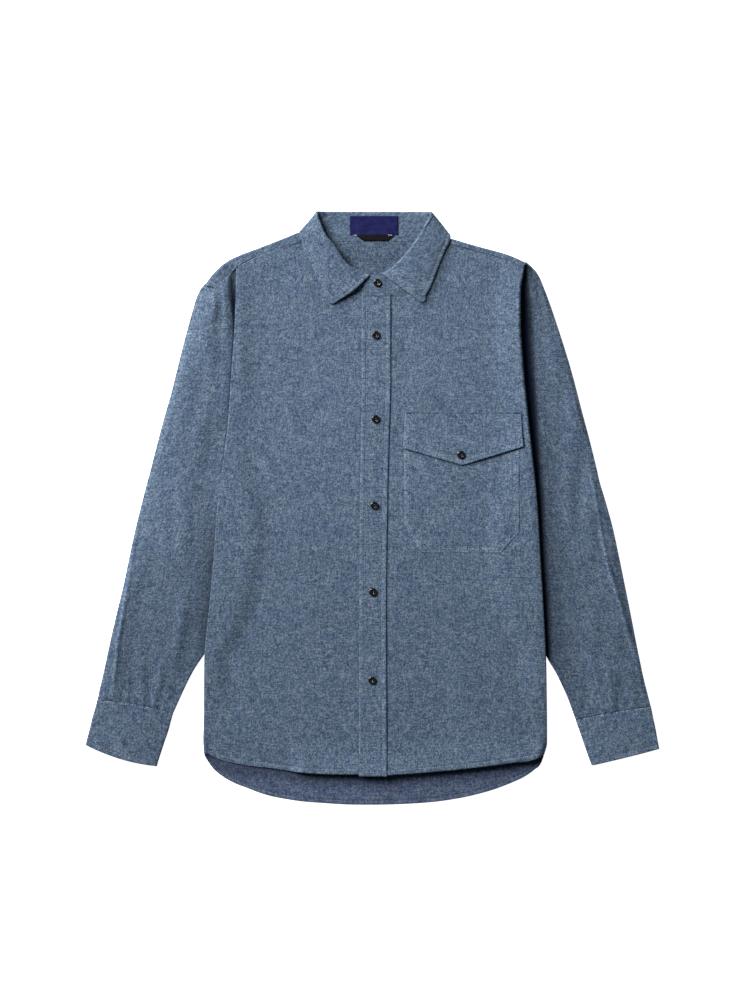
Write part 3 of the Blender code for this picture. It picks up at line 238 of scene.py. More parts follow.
CUFF_LEFT_SIDE = [
    (-379.3, -263.2, -275, -281.7, -277, -281.7, 3.6, 4, 3.6, 0, 22, 1),
    (-384.8, -283, -282, -306, -284, -306, 3.6, 4.2, 3.6, 0, 22, 1),
    (-389.8, -303, -290, -330, -292, -330, 3.6, 4.2, 3.6, 0, 22, 1),
    (-395, -324, -297.5, -353, -300, -353, 3.6, 4, 3.6, 0, 22, 1)]
CUFF_RIGHT_SIDE = [
    (380.1, -272.4, 276.5, -290.7, 282, -290.7, 3.6, 4, 3.6, 0, 20, 1),
    (384, -291, 283.8, -311, 288, -311, 3.6, 4.2, 3.6, 0, 20, 1),
    (388, -310, 290.8, -331, 294, -331, 3.6, 4.2, 3.6, 0, 20, 1),
    (391.5, -329, 298.5, -352, 301, -352, 3.6, 4, 3.6, 0, 20, 1)]
# How far the seam and the open end of each cuff bow towards the hand (negative).
SEAM_BOW = dict(left=3.6, right=1.6)
OPEN_END_BOW = dict(left=-4.4, right=-0.4)

# Pocket and flap on the wearer's left front: place across, height.
POCKET_FOOT = dict(x=[42.5, 65.5, 173.5, 199], y=[-22.5, -60.5, -60.5, -32])
POCKET_TOP = 124.0
FLAP_TOP = 131.5
FLAP_POINT = dict(x=[40.5, 121, 204.5], y=[83, 59.5, 85])
FLAP_SIDE_LEAN = 3.5    # the flap is this much narrower along its sewn edge

BUTTONS = [("button_1", 5, 309, "stand"), ("button_2", 3, 237.5, "placket"),
           ("button_3", 2.5, 122.5, "placket"), ("button_4", 1, 4, "placket"),
           ("button_5", -1, -114.5, "placket"), ("button_6", -2, -235.5, "placket"),
           ("button_pocket", 119.5, 73.5, "flap")]

LABEL = dict(left=-32.5, right=33, foot=374.6, top=400.5)
TAB = dict(top_left=-24.5, top_right=27.5, foot_left=-14.5, foot_right=19.5, top=374.1,
           foot=367, wall=1)

# Places read off the 750 x 1000 view: one pixel is this many millimetres on the shirt.
PIXEL = 1.37
MIDDLE_X, ZERO_Y = 373.75, 508.5

# Cloth as it shows: one layer, a turned edge, the interlined collar and cuffs.
THIN = 0.8
TURNED = 1.2
STIFF = 1.3

# Creases: the line of the crest in pixels of the view, its height and its width to the
# left and to the right of the run.
FRONT_FOLDS = [
    ([(236, 270), (238, 292), (239, 312), (238, 338)], 0.8, 6, 5),
    ([(241, 272), (243, 300), (241, 340), (243, 400)], 0.7, 9, 7),
    ([(408, 556), (407.5, 640), (407, 755)], 0.5, 3, 3),
    ([(352, 300), (354, 340), (352, 372)], -0.5, 6, 5),
    ([(300, 420), (296, 520), (301, 640)], 0.5, 22, 26),
    ([(262, 340), (258, 450), (262, 600)], 0.5, 18, 22),
    ([(330, 560), (326, 660), (330, 740)], 0.45, 16, 20),
    ([(455, 580), (458, 660), (452, 745)], 0.5, 20, 18),
    ([(500, 590), (506, 680), (500, 750)], 0.45, 14, 16),
    ([(427, 320), (425, 370), (424, 408)], 0.4, 14, 16),
    ([(486, 300), (492, 350), (490, 405)], 0.5, 16, 18),
    ([(528, 420), (533, 500), (538, 600), (541, 700)], 0.7, 9, 12)]
LEFT_SLEEVE_FOLDS = [
    ([(134, 536), (126, 590), (118, 640), (112, 698)], 2.3, 2.6, 3),
    ([(124, 560), (116, 610), (108, 650), (103, 690)], -0.7, 4, 4),
    ([(147, 640), (143, 668), (141, 700)], 0.8, 5, 4),
    ([(166, 650), (160, 680), (157, 706)], 0.8, 5, 5),
    ([(130, 660), (128, 682), (127, 700)], 0.7, 3.5, 3.5),
    ([(188, 600), (178, 650), (167, 690)], 1, 8, 7),
    ([(213.5, 290), (216, 303), (217, 318)], 0.9, 2.4, 3),
    ([(223, 284), (224.5, 300), (226, 322)], 1.2, 3.4, 3),
    ([(212, 296), (214, 306), (213, 320)], 0.7, 2.8, 2.8),
    ([(190, 330), (180, 400), (170, 470)], 0.8, 14, 16),
    ([(160, 450), (150, 520), (139, 600)], 0.7, 10, 12),
    ([(206, 380), (200, 440), (192, 500)], 0.7, 8, 9)]
RIGHT_SLEEVE_FOLDS = [
    ([(588, 462), (593, 485), (606, 560), (612, 580), (619, 602), (629, 637), (637, 663),
      (644, 698)], 2.2, 2.2, 3.2),
    ([(534, 274), (534, 305), (537, 345)], 1.2, 4, 4.5),
    ([(527, 258), (530, 268), (531, 280)], 1, 2.2, 2.2),
    ([(541, 292), (546, 302), (548, 314)], 0.9, 3.5, 2.8),
    ([(538, 352), (550, 352), (563, 357)], 0.6, 3.5, 3.5),
    ([(565, 330), (575, 400), (588, 480)], 0.9, 12, 14),
    ([(560, 420), (570, 500), (584, 580)], 0.8, 10, 12),
    ([(575, 600), (590, 650), (602, 700)], 0.9, 8, 8),
    ([(598, 640), (608, 672), (614, 706)], 0.7, 5, 5),
    ([(622, 660), (630, 682), (634, 704)], 0.7, 4, 4)]
RIM_WEAR = 0.2          # folded rims are rubbed lighter
HEM_ROW, PANEL_ROW, PANEL_COLUMN = 0.9, 2.6, 2.4    # spacing of a panel's points
HEM_FINE = 12.6         # up from a hem over which the rows are that close
FOLD_STEPS = 9          # points round a sleeve's folds
HEM_LIFT_FROM = -119.0  # right of here the front hem stands off the back
HEM_LIFT, HEM_PRESS = 5, 2.3      # by this much more, and left of it this much less
SLEEVE_SWELL = 5.5      # the sleeves' upper layer stands up this much along its middle
CUFF_SWELL = 1.4
FLAP_LIFT = 1.6         # the flap's lower edges stand off the pocket

# How strongly each thread pattern shows, shares of one.
WEAVE = dict(warp=0.13, weft=0.14, end=0.29, pick=0.29, cloud=0.15)
THREAD, SLUB, FLECK = 1.2, 9.0, 2.1     # thickness and lengths of the drawn threads, mm
WEAR_SHADE_GAIN = 0.34             # share of colour that one unit of the wear value adds; that value holds real wear and painted light and shade
LOW_SHADE = 0.36        # painted shade: the fronts and placket grow darker towards the hem, away from the light

# Light and camera in metres, and how much the paper shines of itself.
KEY_AT = (-3.9, 3.4, 3.3)
VIEW_AT = (0.0017, 0.0116)
VIEW_HEIGHT = 3.81
FLOOR_GLOW = 0.95

SEAM_LAP = 1.6          # the fronts run on under the yoke's edge by this
YOKE_DIP = 2.3          # the yoke sags this much where it crosses the left-hand hollow
FOLD_OUT = 2.4          # the shoulders' folds stand out this far, mm
# Where the left front runs up beside the placket, under the collar leaf: how far in it
# starts, how wide it is and how far up and how high it goes.
NECK_REACH = dict(start=47, width=22, up=23, rise=3)
PLACKET_SHADE = 23.8    # painted shade: the placket's dark right edge runs on up to the collar
# Shade that the collar leaves throw on the fronts: its line in pixels, share of the light
# it takes and its width.
LEAF_SHADES = [([(366, 282), (356, 290), (347, 298), (339, 304)], 0.45, 7.5),
               ([(424, 303), (432, 290), (440, 270), (450, 247)], 0.5, 7)]
STAND_LINES = (-7.2, 16.5)      # stitch lines that run up from the placket over the stand

SIDES = ((LEFT_EDGE, SLEEVE_LEFT_SIDE), (RIGHT_EDGE, SLEEVE_RIGHT_SIDE))
GRIDS = {}              # middle points of every cloth piece, by the piece's name


def through(at, stops, values):
    """Smooth curve through the values, which keeps level at every peak and hollow."""
    stops, values = np.asarray(stops, float), np.asarray(values, float)
    step = np.diff(stops)
    rise = np.diff(values) / step
    slope = np.concatenate([rise[:1], (rise[:-1] * step[1:] + rise[1:] * step[:-1])
                            / (step[1:] + step[:-1]), rise[-1:]])
    turns = np.concatenate([[False], rise[:-1] * rise[1:] <= 0, [False]])
    slope = np.where(turns, 0.0, slope)
    at = np.clip(np.asarray(at, float), stops[0], stops[-1])
    i = np.clip(np.searchsorted(stops, at, side="right") - 1, 0, len(stops) - 2)
    h = step[i]
    t = (at - stops[i]) / h
    return (values[i] * (1 + 2 * t) * (1 - t) ** 2 + slope[i] * h * t * (1 - t) ** 2
            + values[i + 1] * t * t * (3 - 2 * t) + slope[i + 1] * h * t * t * (t - 1))


def read(table, what, y):
    """A table's value at a height up the shirt."""
    return through(y, table["y"], table[what])


def columns(table, names, at):
    """Read a table of rows at fractional row numbers; gives one array a column."""
    rows = np.arange(len(table))
    return {name: through(at, rows, [row[i] for row in table])
            for i, name in enumerate(names)}


def ease(t):
    """0 to 1 with level ends."""
    t = np.clip(t, 0.0, 1.0)
    return t * t * (3 - 2 * t)


def bell(d, width):
    """1 at d = 0, falling off to both sides: exp(-(d / width)^2)."""
    return np.exp(-(d / width) ** 2)


def blend(start, end, share):
    return start + (end - start) * share


def stacked(*parts):
    """Points from one array for each coordinate."""
    return np.stack(parts, axis=-1)


def unit(v):
    return v / np.maximum(np.linalg.norm(v, axis=-1, keepdims=True), 1e-9)


def normals(grid):
    """Unit normals of a grid of points, from its two directions."""
    return unit(np.cross(np.gradient(grid, axis=0), np.gradient(grid, axis=1)))


def run_lengths(grid, axis=0):
    """Length along the grid from its first row or column to each point."""
    steps = np.linalg.norm(np.diff(grid, axis=axis), axis=-1)
    return np.concatenate([np.zeros_like(steps.take([0], axis=axis)),
                           np.cumsum(steps, axis=axis)], axis=axis)


# ---------------------------------------------------------------- meshes and relief

def put(name, points, faces, material, grain=None, wear_and_shade=None):
    """A mesh object from points in millimetres and faces of one size; grain is its UV in
    metres along the cloth, and the last argument how light (+) or dark (-) the cloth is
    painted: real wear together with painted light and shade."""
    mesh = bpy.data.meshes.new(name)
    mesh.vertices.add(len(points))
    mesh.vertices.foreach_set("co", (np.asarray(points) * MM).ravel())
    mesh.loops.add(faces.size)
    mesh.loops.foreach_set("vertex_index", faces.ravel())
    mesh.polygons.add(len(faces))
    mesh.polygons.foreach_set("loop_start", np.arange(0, faces.size, faces.shape[1]))
    mesh.update(calc_edges=True)
    if grain is not None:
        mesh.uv_layers.new(name="grain").data.foreach_set("uv", grain[faces.ravel()].ravel())
        mesh.attributes.new("wear_and_shade", "FLOAT", "POINT").data.foreach_set("value", wear_and_shade)
    mesh.shade_smooth()
    mesh.materials.append(material)
    made = bpy.data.objects.new(name, mesh)
    bpy.context.scene.collection.objects.link(made)
    return made


def shell(name, grid, material, side, wall, grain=None, wear_and_shade=0.0, inside=0.0, cut=None):
    """Closed cloth wall round a grid of middle points.

    Outer face = point + n * wall / 2, inner face = point - n * wall / 2, where n is the
    unit cross product of the grid's two directions, times side. The rim is rounded by a
    row of points pushed out by wall / 2 in the plane of the cloth. The grid is kept for
    what is sewn on the piece.
    """
    GRIDS[name] = grid
    rows, cols = grid.shape[:2]
    count = rows * cols
    n = (side * normals(grid)).reshape(-1, 3)
    flat = grid.reshape(-1, 3)
    half = np.broadcast_to(np.asarray(wall, float) / 2, (rows, cols)).reshape(-1, 1)
    index = np.arange(count).reshape(rows, cols)
    keep = np.ones((rows - 1, cols - 1), bool) if cut is None else ~cut
    a, b = index[:-1, :-1][keep], index[:-1, 1:][keep]
    c, d = index[1:, 1:][keep], index[1:, :-1][keep]
    outer = stacked(a, d, c, b) if side > 0 else stacked(a, b, c, d)
    edges = np.concatenate([outer[:, [k, (k + 1) % 4]] for k in range(4)])
    rim = edges[~np.isin(edges[:, 0] * count + edges[:, 1],
                         edges[:, 1] * count + edges[:, 0])]
    p, q = rim[:, 0], rim[:, 1]
    way = unit(np.cross(flat[q] - flat[p], n[p]))
    push = np.zeros((count, 3))
    np.add.at(push, p, way)
    np.add.at(push, q, way)
    ends = np.unique(rim)
    middle = np.zeros(count, int)
    middle[ends] = 2 * count + np.arange(len(ends))
    points = np.concatenate([flat + n * half, flat - n * half,
                             flat[ends] + unit(push[ends]) * half[ends]])
    faces = np.concatenate([outer, outer[:, ::-1] + count,
                            stacked(q, p, middle[p], middle[q]),
                            stacked(middle[q], middle[p], p + count, q + count)])
    grain = ((grid[..., :2] if grain is None else grain) * MM).reshape(-1, 2)
    wear_and_shade = np.broadcast_to(wear_and_shade, (rows, cols)).reshape(-1)
    grain = np.concatenate([grain, grain, grain[ends]])
    # Colour values: the outer face takes those given, real wear together with painted light and
    # shade; the inner face takes 'inside'; the rims are rubbed lighter by RIM_WEAR.
    wear_and_shade = np.concatenate([wear_and_shade, 0 * wear_and_shade + inside, wear_and_shade[ends] + RIM_WEAR])
    used = np.unique(faces)
    place = np.zeros(len(points), int)
    place[used] = np.arange(len(used))
    return put(name, points[used], place[faces], material, grain[used], wear_and_shade[used])


def waves(x, y, seed, low, high, height, count=14):
    """Sum of plane waves with seeded directions and lengths between low and high; the
    sum has about the given height."""
    draw = np.random.default_rng(seed)
    total = np.zeros(np.shape(x))
    for way, size, phase in zip(draw.uniform(0, np.pi, count), draw.uniform(low, high, count),
                                draw.uniform(0, 2 * np.pi, count)):
        total = total + np.sin((x * np.cos(way) + y * np.sin(way)) * 2 * np.pi / size + phase)
    return total * height / np.sqrt(count / 2)


def seen(points):
    """Places on the shirt from pixels of the view."""
    points = np.asarray(points, float)
    return stacked((points[:, 0] - MIDDLE_X) * PIXEL, (ZERO_Y - points[:, 1]) * PIXEL)


def beside_line(x, y, line):
    """Distance from a line of points, plus to the left of its run and minus to the
    right, and the share of its length at the nearest place."""
    sizes = np.hypot(*np.diff(line, axis=0).T)
    nearest = np.full(np.shape(x), 1e9)
    signed, share = np.zeros(np.shape(x)), np.zeros(np.shape(x))
    before = 0.0
    for (ax, ay), (bx, by), size in zip(line[:-1], line[1:], sizes):
        t = np.clip(((x - ax) * (bx - ax) + (y - ay) * (by - ay)) / size ** 2, 0, 1)
        dx, dy = x - ax - t * (bx - ax), y - ay - t * (by - ay)
        away = np.hypot(dx, dy)
        near = away < nearest
        side = np.where((bx - ax) * dy - (by - ay) * dx < 0, -1.0, 1.0)
        signed = np.where(near, side * away, signed)
        share = np.where(near, (before + t * size) / sizes.sum(), share)
        nearest = np.where(near, away, nearest)
        before += size
    return signed, share


def folds(x, y, table):
    """Sum of creases: height * bell(distance, width), fading out at both ends."""
    total = np.zeros(np.shape(x))
    for pixels, height, left, right in table:
        away, share = beside_line(x, y, seen(pixels))
        fade = np.sin(np.pi * np.clip(share, 0.02, 0.98)) ** 0.6
        total = total + height * fade * bell(away, np.where(away > 0, left, right))
    return total


def hemmed(d, along, inset=6.0, puff=0.35, groove=0.45, pucker=0.25, length=7.5, seed=1):
    """Relief and colour of a turned and stitched edge at distance d in from it.

    The turning stands up between the edge and the stitches, the stitches pull a groove,
    and slanting ripples of about the given length run between them.
    """
    draw = waves(along, 0 * along, seed, 30.0, 90.0, 1.0, 6)
    ripple = np.sin(2 * np.pi * (along + 0.8 * d) / length + 1.6 * draw)
    inside = bell(d - inset / 2, inset / 2)
    line = bell(d - inset, 0.9)
    relief = (puff * inside - groove * line
              + pucker * ripple * (0.6 + 0.4 * draw) * bell(d - inset * 0.7, inset))
    # Colour: the raised turning lighter, partly real wear and partly painted highlight; the
    # stitch groove darker, painted shade; the very edge rubbed lighter; the ripples painted
    # lighter and darker with their relief.
    wear_and_shade = 0.25 * inside - 0.8 * line + 0.2 * bell(d, 1.3)
    return relief, wear_and_shade + 0.12 * ripple * inside


def shaded(wear_and_shade, light):
    """Painted shade: the colour value for cloth that keeps only this share of the light."""
    return ((1 + WEAR_SHADE_GAIN * wear_and_shade) * light - 1) / WEAR_SHADE_GAIN


def hollow(past, black, clear, left):
    """Light in the hollow beside the body: hardly any until 'black', all from 'clear'."""
    return left + (1 - left) * ease((past - black) / (clear - black))


def raised(grid, relief, side=1):
    """The grid moved out along its normals."""
    return grid + side * normals(grid) * relief[..., None]


# ---------------------------------------------------------------- heights of the body

def inward(edge, x, y):
    """Distance in from a side edge of the body."""
    return np.sign(edge["x"][0]) * (read(edge, "x", y) - x)


def lift(edge, sleeve, x, y):
    """Rise of the back where it lies over a sleeve that reaches in under the body."""
    reach = through(y, [row[3] for row in sleeve[::-1]], [row[2] for row in sleeve[::-1]])
    tucked = np.maximum(inward(edge, reach, y), 0.0)
    beside = (ease((TUCK_TOP_Y - y) / TUCK_TOP_EASE)
              * ease((y - TUCK_FOOT_Y) / TUCK_FOOT_EASE))
    past = inward(edge, x, y) - tucked - BACK_INSET - TUCK_MARGIN
    return TUCK_LIFT * beside * (1 - ease(past / TUCK_SLOPE))


def both_lifts(x, y):
    return sum(lift(*side, x, y) for side in SIDES)


def neck_lift(x, y):
    """Rise of the yoke over the collar leaf folded under it."""
    over = ease((y - LEAF_UNDER["foot"]) / LEAF_UNDER["foot_ease"])
    beside = ease((np.abs(x) - LEAF_UNDER["side"]) / LEAF_UNDER["side_ease"])
    return LAYER * over * (1 - beside)


def edge_top(edge, y):
    """Middle of the front at the top of its rolled side edge."""
    return read(edge, "on", y) + LAYER + 2 * read(edge, "roll", y)


def front_height(x, y):
    """Middle of the front panels: level, raised over sleeves and at the side edges."""
    height = FRONT_MID + both_lifts(x, y)
    for edge, sleeve in SIDES:
        extra = edge_top(edge, y) - FRONT_MID - lift(edge, sleeve, read(edge, "x", y), y)
        height = height + extra * (1 - ease(inward(edge, x, y) / EDGE_SWELL))
    return height


def front_swell(x, y):
    """Slow rise and fall of the fronts and the creases pressed into them."""
    return (waves(x, y, 11, 60, 190, 0.28) + waves(x, y * 0.35, 12, 25, 60, 0.1)
            + folds(x, y, FRONT_FOLDS))


def neckline(first, last):
    """Neck seam between two rows of the collar, at every half row, set outward."""
    c = columns(COLLAR, COLLAR_COLUMNS, np.linspace(first, last, 2 * abs(last - first) + 1))
    line = stacked(c["nx"], c["ny"])
    way = unit(np.gradient(line, axis=0)) * np.sign(last - first)
    return line + stacked(-way[:, 1], way[:, 0]) * NECK_GAP


def yoke_seam(shoulder, first=0):
    """Front yoke seam from its outer end to the neck, set down by the seam's gap."""
    return stacked(shoulder["seam_x"][first:],
                   np.array(shoulder["seam_y"][first:]) - 2 * SEAM)


# ---------------------------------------------------------------- body

def front_panel(edge, hem, top, inner_x):
    """Front panel from under its rolled side edge to its edge at the centre.

    Points run up each column from the hem to the upper edge, whose height is read off
    the seam line, and across from the crown of the roll to the centre. The first columns
    go round the roll in half a circle: x = crown + r cos, z = top - r + r sin.
    """
    side = np.sign(edge["x"][0])
    end = side * (top[0, 0] - inner_x(CENTRE_TOP_Y))
    turn = np.radians(np.linspace(-90, 90, 9)[:-1])[None, :]
    n = turn.size
    beside = np.concatenate([np.zeros(n), np.linspace(0, end, int(end / PANEL_COLUMN))])
    top_y = np.interp(beside, side * (top[0, 0] - top[:, 0]), top[:, 1])[None, :]
    share = beside[None, :] / end
    length = edge["y"][-1] - edge["y"][0]
    far = np.linspace(HEM_FINE + PANEL_ROW / 2, length, int((length - HEM_FINE) / PANEL_ROW))
    up = np.concatenate([np.arange(0, HEM_FINE, HEM_ROW), far])[:, None] / length
    hem_x = blend(edge["x"][0], inner_x(CENTRE_FOOT_Y), share)
    y = blend(through(hem_x, hem["x"], hem["y"]), top_y, up)
    roll = read(edge, "roll", y)
    crown = read(edge, "x", y) - side * (WALL / 2 + roll)
    x = blend(crown, inner_x(y), share)
    z = front_height(x, y)
    x[:, :n] = crown[:, :n] + side * roll[:, :n] * np.cos(turn)
    z[:, :n] = edge_top(edge, y[:, :n]) + roll[:, :n] * (np.sin(turn) - 1)
    grid = stacked(x, y, z)
    under = grid[:, :1] - np.array([side * FOLD_RETURN, 0, 0])
    return np.concatenate([under, grid], axis=1), n + 1


def front(name, edge, hem, top, inner_x, seam, seed):
    """A front with its hem, yoke seam and creases, and painted light and shade: on its
    rolled edge, beside the placket, under the collar leaves and towards the hem.
    """
    side = np.sign(edge["x"][0])
    grid, rolled = front_panel(edge, hem, top, inner_x)
    x, y = grid[..., 0], grid[..., 1]
    flat = ease(inward(edge, x, y) / 9.0)
    flat[:, :rolled] = 0
    up = run_lengths(grid)
    hem_relief, wear_and_shade = hemmed(up, x, seed=seed)
    seam_away = np.abs(beside_line(x, y, seam)[0])
    seam_relief, seam_wear_shade = hemmed(seam_away, x, 2.4, 0.2, 0.4, 0.2, 6.0, seed + 3)
    close = bell(seam_away, 8.0)
    grid[..., 2] += flat * (front_swell(x, y) + hem_relief + seam_relief * close
                            - 0.5 * bell(seam_away, 2.4))
    if side > 0:
        grid[..., 2] += (NECK_REACH["rise"] * ease((y - 288) / 12)
                         * ease((NECK_REACH["start"] - x) / 15))
    stands = ease((x - HEM_LIFT_FROM) / 28.0)
    grid[..., 2] += flat * bell(up, 26.0) * (HEM_LIFT * stands - HEM_PRESS * (1 - stands))
    grain = stacked(np.broadcast_to(run_lengths(grid[120:121], 1), x.shape), y)
    turned = bell(side * (grid[:, rolled:rolled + 1, 0] - x), 1.8)
    turned[:, :rolled] = 1.0
    turned[:, 1:rolled] = 1 - 0.75 * ease(np.linspace(-1.2, 1.0, rolled - 1))
    # Painted light and shade on the rolled side edges: the left-hand roll, which faces the
    # light, darkened; the right-hand roll, which faces away, lightened where it is wide; and a
    # painted shade line beside the placket's left edge.
    painted_tone, shade = -0.5, bell(x - read(PLACKET, "left", y) + 0.9, 1.3)
    if side > 0:
        painted_tone, shade = 0.35 * (read(edge, "roll", y) - 2.4), 0
    wear_and_shade = (flat * (wear_and_shade + seam_wear_shade * close - 0.5 * shade)
            + painted_tone * turned * ease((y + 330) / 40) - LOW_SHADE * ease((180 - y) / 400))
    if side > 0:
        # Painted shade: the placket's dark right edge carried on up to the collar.
        wear_and_shade -= 1.4 * bell(x - PLACKET_SHADE, 0.9) * ease((y - 290) / 2)
    # Painted shadows of the collar leaves on the fronts.
    for pixels, dark, width in LEAF_SHADES:
        wear_and_shade = shaded(wear_and_shade, 1 - dark * bell(beside_line(x, y, seen(pixels))[0], width))
    shell(name, grid, cloth_front, side, THIN + 0.5 * bell(up, 7.0), grain, wear_and_shade)


def back():
    """Back panel: the flat sheet between the side edges, from its hem to the yoke. Below
    the front hem its inner face shows, with painted shadow where the front hangs over it."""
    tail = np.concatenate([np.arange(0, HEM_FINE, HEM_ROW), np.linspace(14.5, 75, 22)])
    up = np.concatenate([tail, np.linspace(85, 594, 40)[1:]])[:, None] / 594
    share = np.linspace(0, 1, 150)[None, :]
    foot = through(blend(BACK_HEM["x"][0], BACK_HEM["x"][-1], share),
                   BACK_HEM["x"], BACK_HEM["y"])
    y = foot + (BACK_SEAM_Y - SEAM - foot) * up
    inset = BACK_INSET * ease((y - HEM_Y) / HEM_EASE) + BACK_CLEAR
    x = blend(read(LEFT_EDGE, "x", y) + inset, read(RIGHT_EDGE, "x", y) - inset, share)
    grid = stacked(x, y, FLOOR_MID + both_lifts(x, y))
    up = run_lengths(grid)
    relief, wear_and_shade = hemmed(up, x, 5.5, 0.25, 0.4, 0.25, 8.0, 31)
    soft = np.maximum(waves(x, y, 33, 30, 80, 0.3), -0.3)
    grid[..., 2] += 0.15 + bell(up, 40.0) * (0.35 + soft) + relief
    hem_x, hem_y = (FRONT_HEM_RIGHT_SIDE[k][:-1] + FRONT_HEM_LEFT_SIDE[k] for k in "xy")
    below = np.interp(x, hem_x, hem_y) - y
    # A little darker all over, and painted shadow below the front hem where it hangs over.
    wear_and_shade = wear_and_shade - 0.1 - 1.15 * (1 - ease((below - 4.5) / 24.0))
    shell("back_cloth", grid, cloth_inside, -1, THIN, wear_and_shade=wear_and_shade)


def yoke():
    """Yoke: flat across the back, folded over both shoulders to the front seams.

    Round a fold: place = fold + r (1 + cos), height = low + r (1 + sin), then a flat
    strip to the seam, which sags where it crosses the hollow beside the body.
    """
    left, right = np.linspace(0, 7, 64), np.linspace(4, 0, 56)
    neck = np.linspace(*YOKE_NECK, 64)
    ends = {name: np.concatenate([through(rows, np.arange(len(table[name])), table[name])
                                  for rows, table in ((left, LEFT_SHOULDER),
                                                      (right, RIGHT_SHOULDER))])
            for name in LEFT_SHOULDER}
    fold, seam = (stacked(ends[k + "_x"], ends[k + "_y"]) for k in ("fold", "seam"))
    over = unit(seam - fold)
    fold = fold + over * (WALL / 2 - FOLD_OUT)
    low = FLOOR_MID + neck_lift(fold[:, 0], fold[:, 1])
    radius = (front_height(seam[:, 0], seam[:, 1]) - low) / 2
    turn = np.radians(np.linspace(270, 90, 12))
    arc = fold[:, None] + over[:, None] * (radius[:, None] * (1 + np.cos(turn)))[..., None]
    arc_z = low[:, None] + radius[:, None] * (1 + np.sin(turn))
    steps = np.linspace(0, 1, 9)[1:]
    strip = blend(arc[:, -1:], seam[:, None], steps[None, :, None])
    strip_z = np.repeat(arc_z[:, -1:], len(steps), axis=1)
    out = -188.0 - seam[:, :1]
    sag = YOKE_DIP * ease(out / 8.0) * (1 - 0.7 * ease((out - 9.0) / 14.0))
    strip_z += (0.35 - sag) * steps
    shoulder = np.concatenate([np.concatenate([arc, strip], axis=1),
                               np.concatenate([arc_z, strip_z], axis=1)[..., None]], axis=-1)
    n_left, n_neck = len(left), len(neck)
    stops = columns(COLLAR, COLLAR_COLUMNS, neck)
    neck_top = stacked(stops["nx"], stops["ny"] - 2 * SEAM)
    tops = np.concatenate([shoulder[:n_left, 0, :2], neck_top, shoulder[n_left:, 0, :2]])
    foot = YOKE_FOOT
    feet_x = np.concatenate([np.linspace(foot["left"], -foot["neck"], n_left),
                             np.linspace(-foot["neck"], foot["neck"], n_neck + 2)[1:-1],
                             np.linspace(foot["neck"], foot["right"], len(right))])
    feet = stacked(feet_x, np.full(len(feet_x), BACK_SEAM_Y))
    flat = blend(feet[:, None], tops[:, None], np.linspace(0, 0.985, 34)[None, :, None])
    flat_z = FLOOR_MID + neck_lift(flat[..., 0], flat[..., 1])
    # Between the shoulders the rows past the neck seam only carry the grid on.
    blank = shoulder[n_left - 1][None] + np.array([1.0, 0, 0]) * np.arange(1, n_neck + 1)[
        :, None, None]
    blank[:, 0, :2] = neck_top
    blank[:, 0, 2] = FLOOR_MID + neck_lift(neck_top[:, 0], neck_top[:, 1])
    upper = np.concatenate([shoulder[:n_left], blank, shoulder[n_left:]])
    grid = np.concatenate([np.concatenate([flat, flat_z[..., None]], axis=-1), upper], axis=1)
    cut = np.zeros((grid.shape[0] - 1, grid.shape[1] - 1), bool)
    flat_rows = flat.shape[1]
    cut[n_left - 1:n_left + n_neck, flat_rows:] = True

    last = run_lengths(grid, 1)[:, -1:] - run_lengths(grid, 1)
    relief, wear_and_shade = hemmed(last, grid[..., 0], 2.2, 0.3, 0.35, 0.15, 6.0, 41)
    bare = np.zeros(grid.shape[:2])
    bare[:, flat_rows + 2:] = 1
    x, y = grid[..., 0], grid[..., 1]
    grid = raised(grid, -bare * relief)
    grid[..., 2] += np.where(bare > 0, 0, waves(x, y, 43, 40, 90, 0.12) + 0.1)
    run = run_lengths(grid)[:, flat_rows + 14, None] + 0 * x
    folded = np.arange(grid.shape[1]) > flat_rows + 5
    grain = stacked(run_lengths(grid, 1), np.where(folded, run, x))
    # Its inner face is coloured 0.6 darker.
    shell("yoke_cloth", grid, cloth_front, -1, THIN, grain, wear_and_shade * bare, -0.6, cut)


# ---------------------------------------------------------------- collar and labels

def collar_section(at):
    """Neck point, leaf edge, centre and radius of the roll, and the roll's directions."""
    c, ahead, behind = (columns(COLLAR, COLLAR_COLUMNS, at + step)
                        for step in (0.0, TANGENT_REACH, -TANGENT_REACH))
    neck, roll, edge = (stacked(*(c[place + axis] for axis in "xyz")) for place in "nre")
    outward = unit(stacked(behind["ry"] - ahead["ry"], ahead["rx"] - behind["rx"], 0 * at))
    lean, radius = np.radians(c["lean"])[:, None], c["roll"][:, None]
    up = np.array([[0.0, 0.0, 1.0]])
    across = np.cos(lean) * outward + np.sin(lean) * up
    out = np.cos(lean) * up - np.sin(lean) * outward
    return neck, edge, roll - radius * out, radius, out, across


def roll_points(centre, radius, out, across, *turns):
    """Points round the roll: 0 degrees at the stand, 180 at the leaf."""
    angle = np.radians(np.linspace(*turns))[None, :, None]
    return centre[:, None] + radius[:, None] * (-np.cos(angle) * across[:, None]
                                                + np.sin(angle) * out[:, None])


def stand_grid(at, up, round_steps):
    neck, _, *roll = collar_section(at)
    rolled = roll_points(*roll, 0, STAND_TOP_TURN, round_steps)
    share = np.linspace(0, 1, up)[None, :-1, None]
    return np.concatenate([blend(neck[:, None], rolled[:, :1], share), rolled], axis=1)


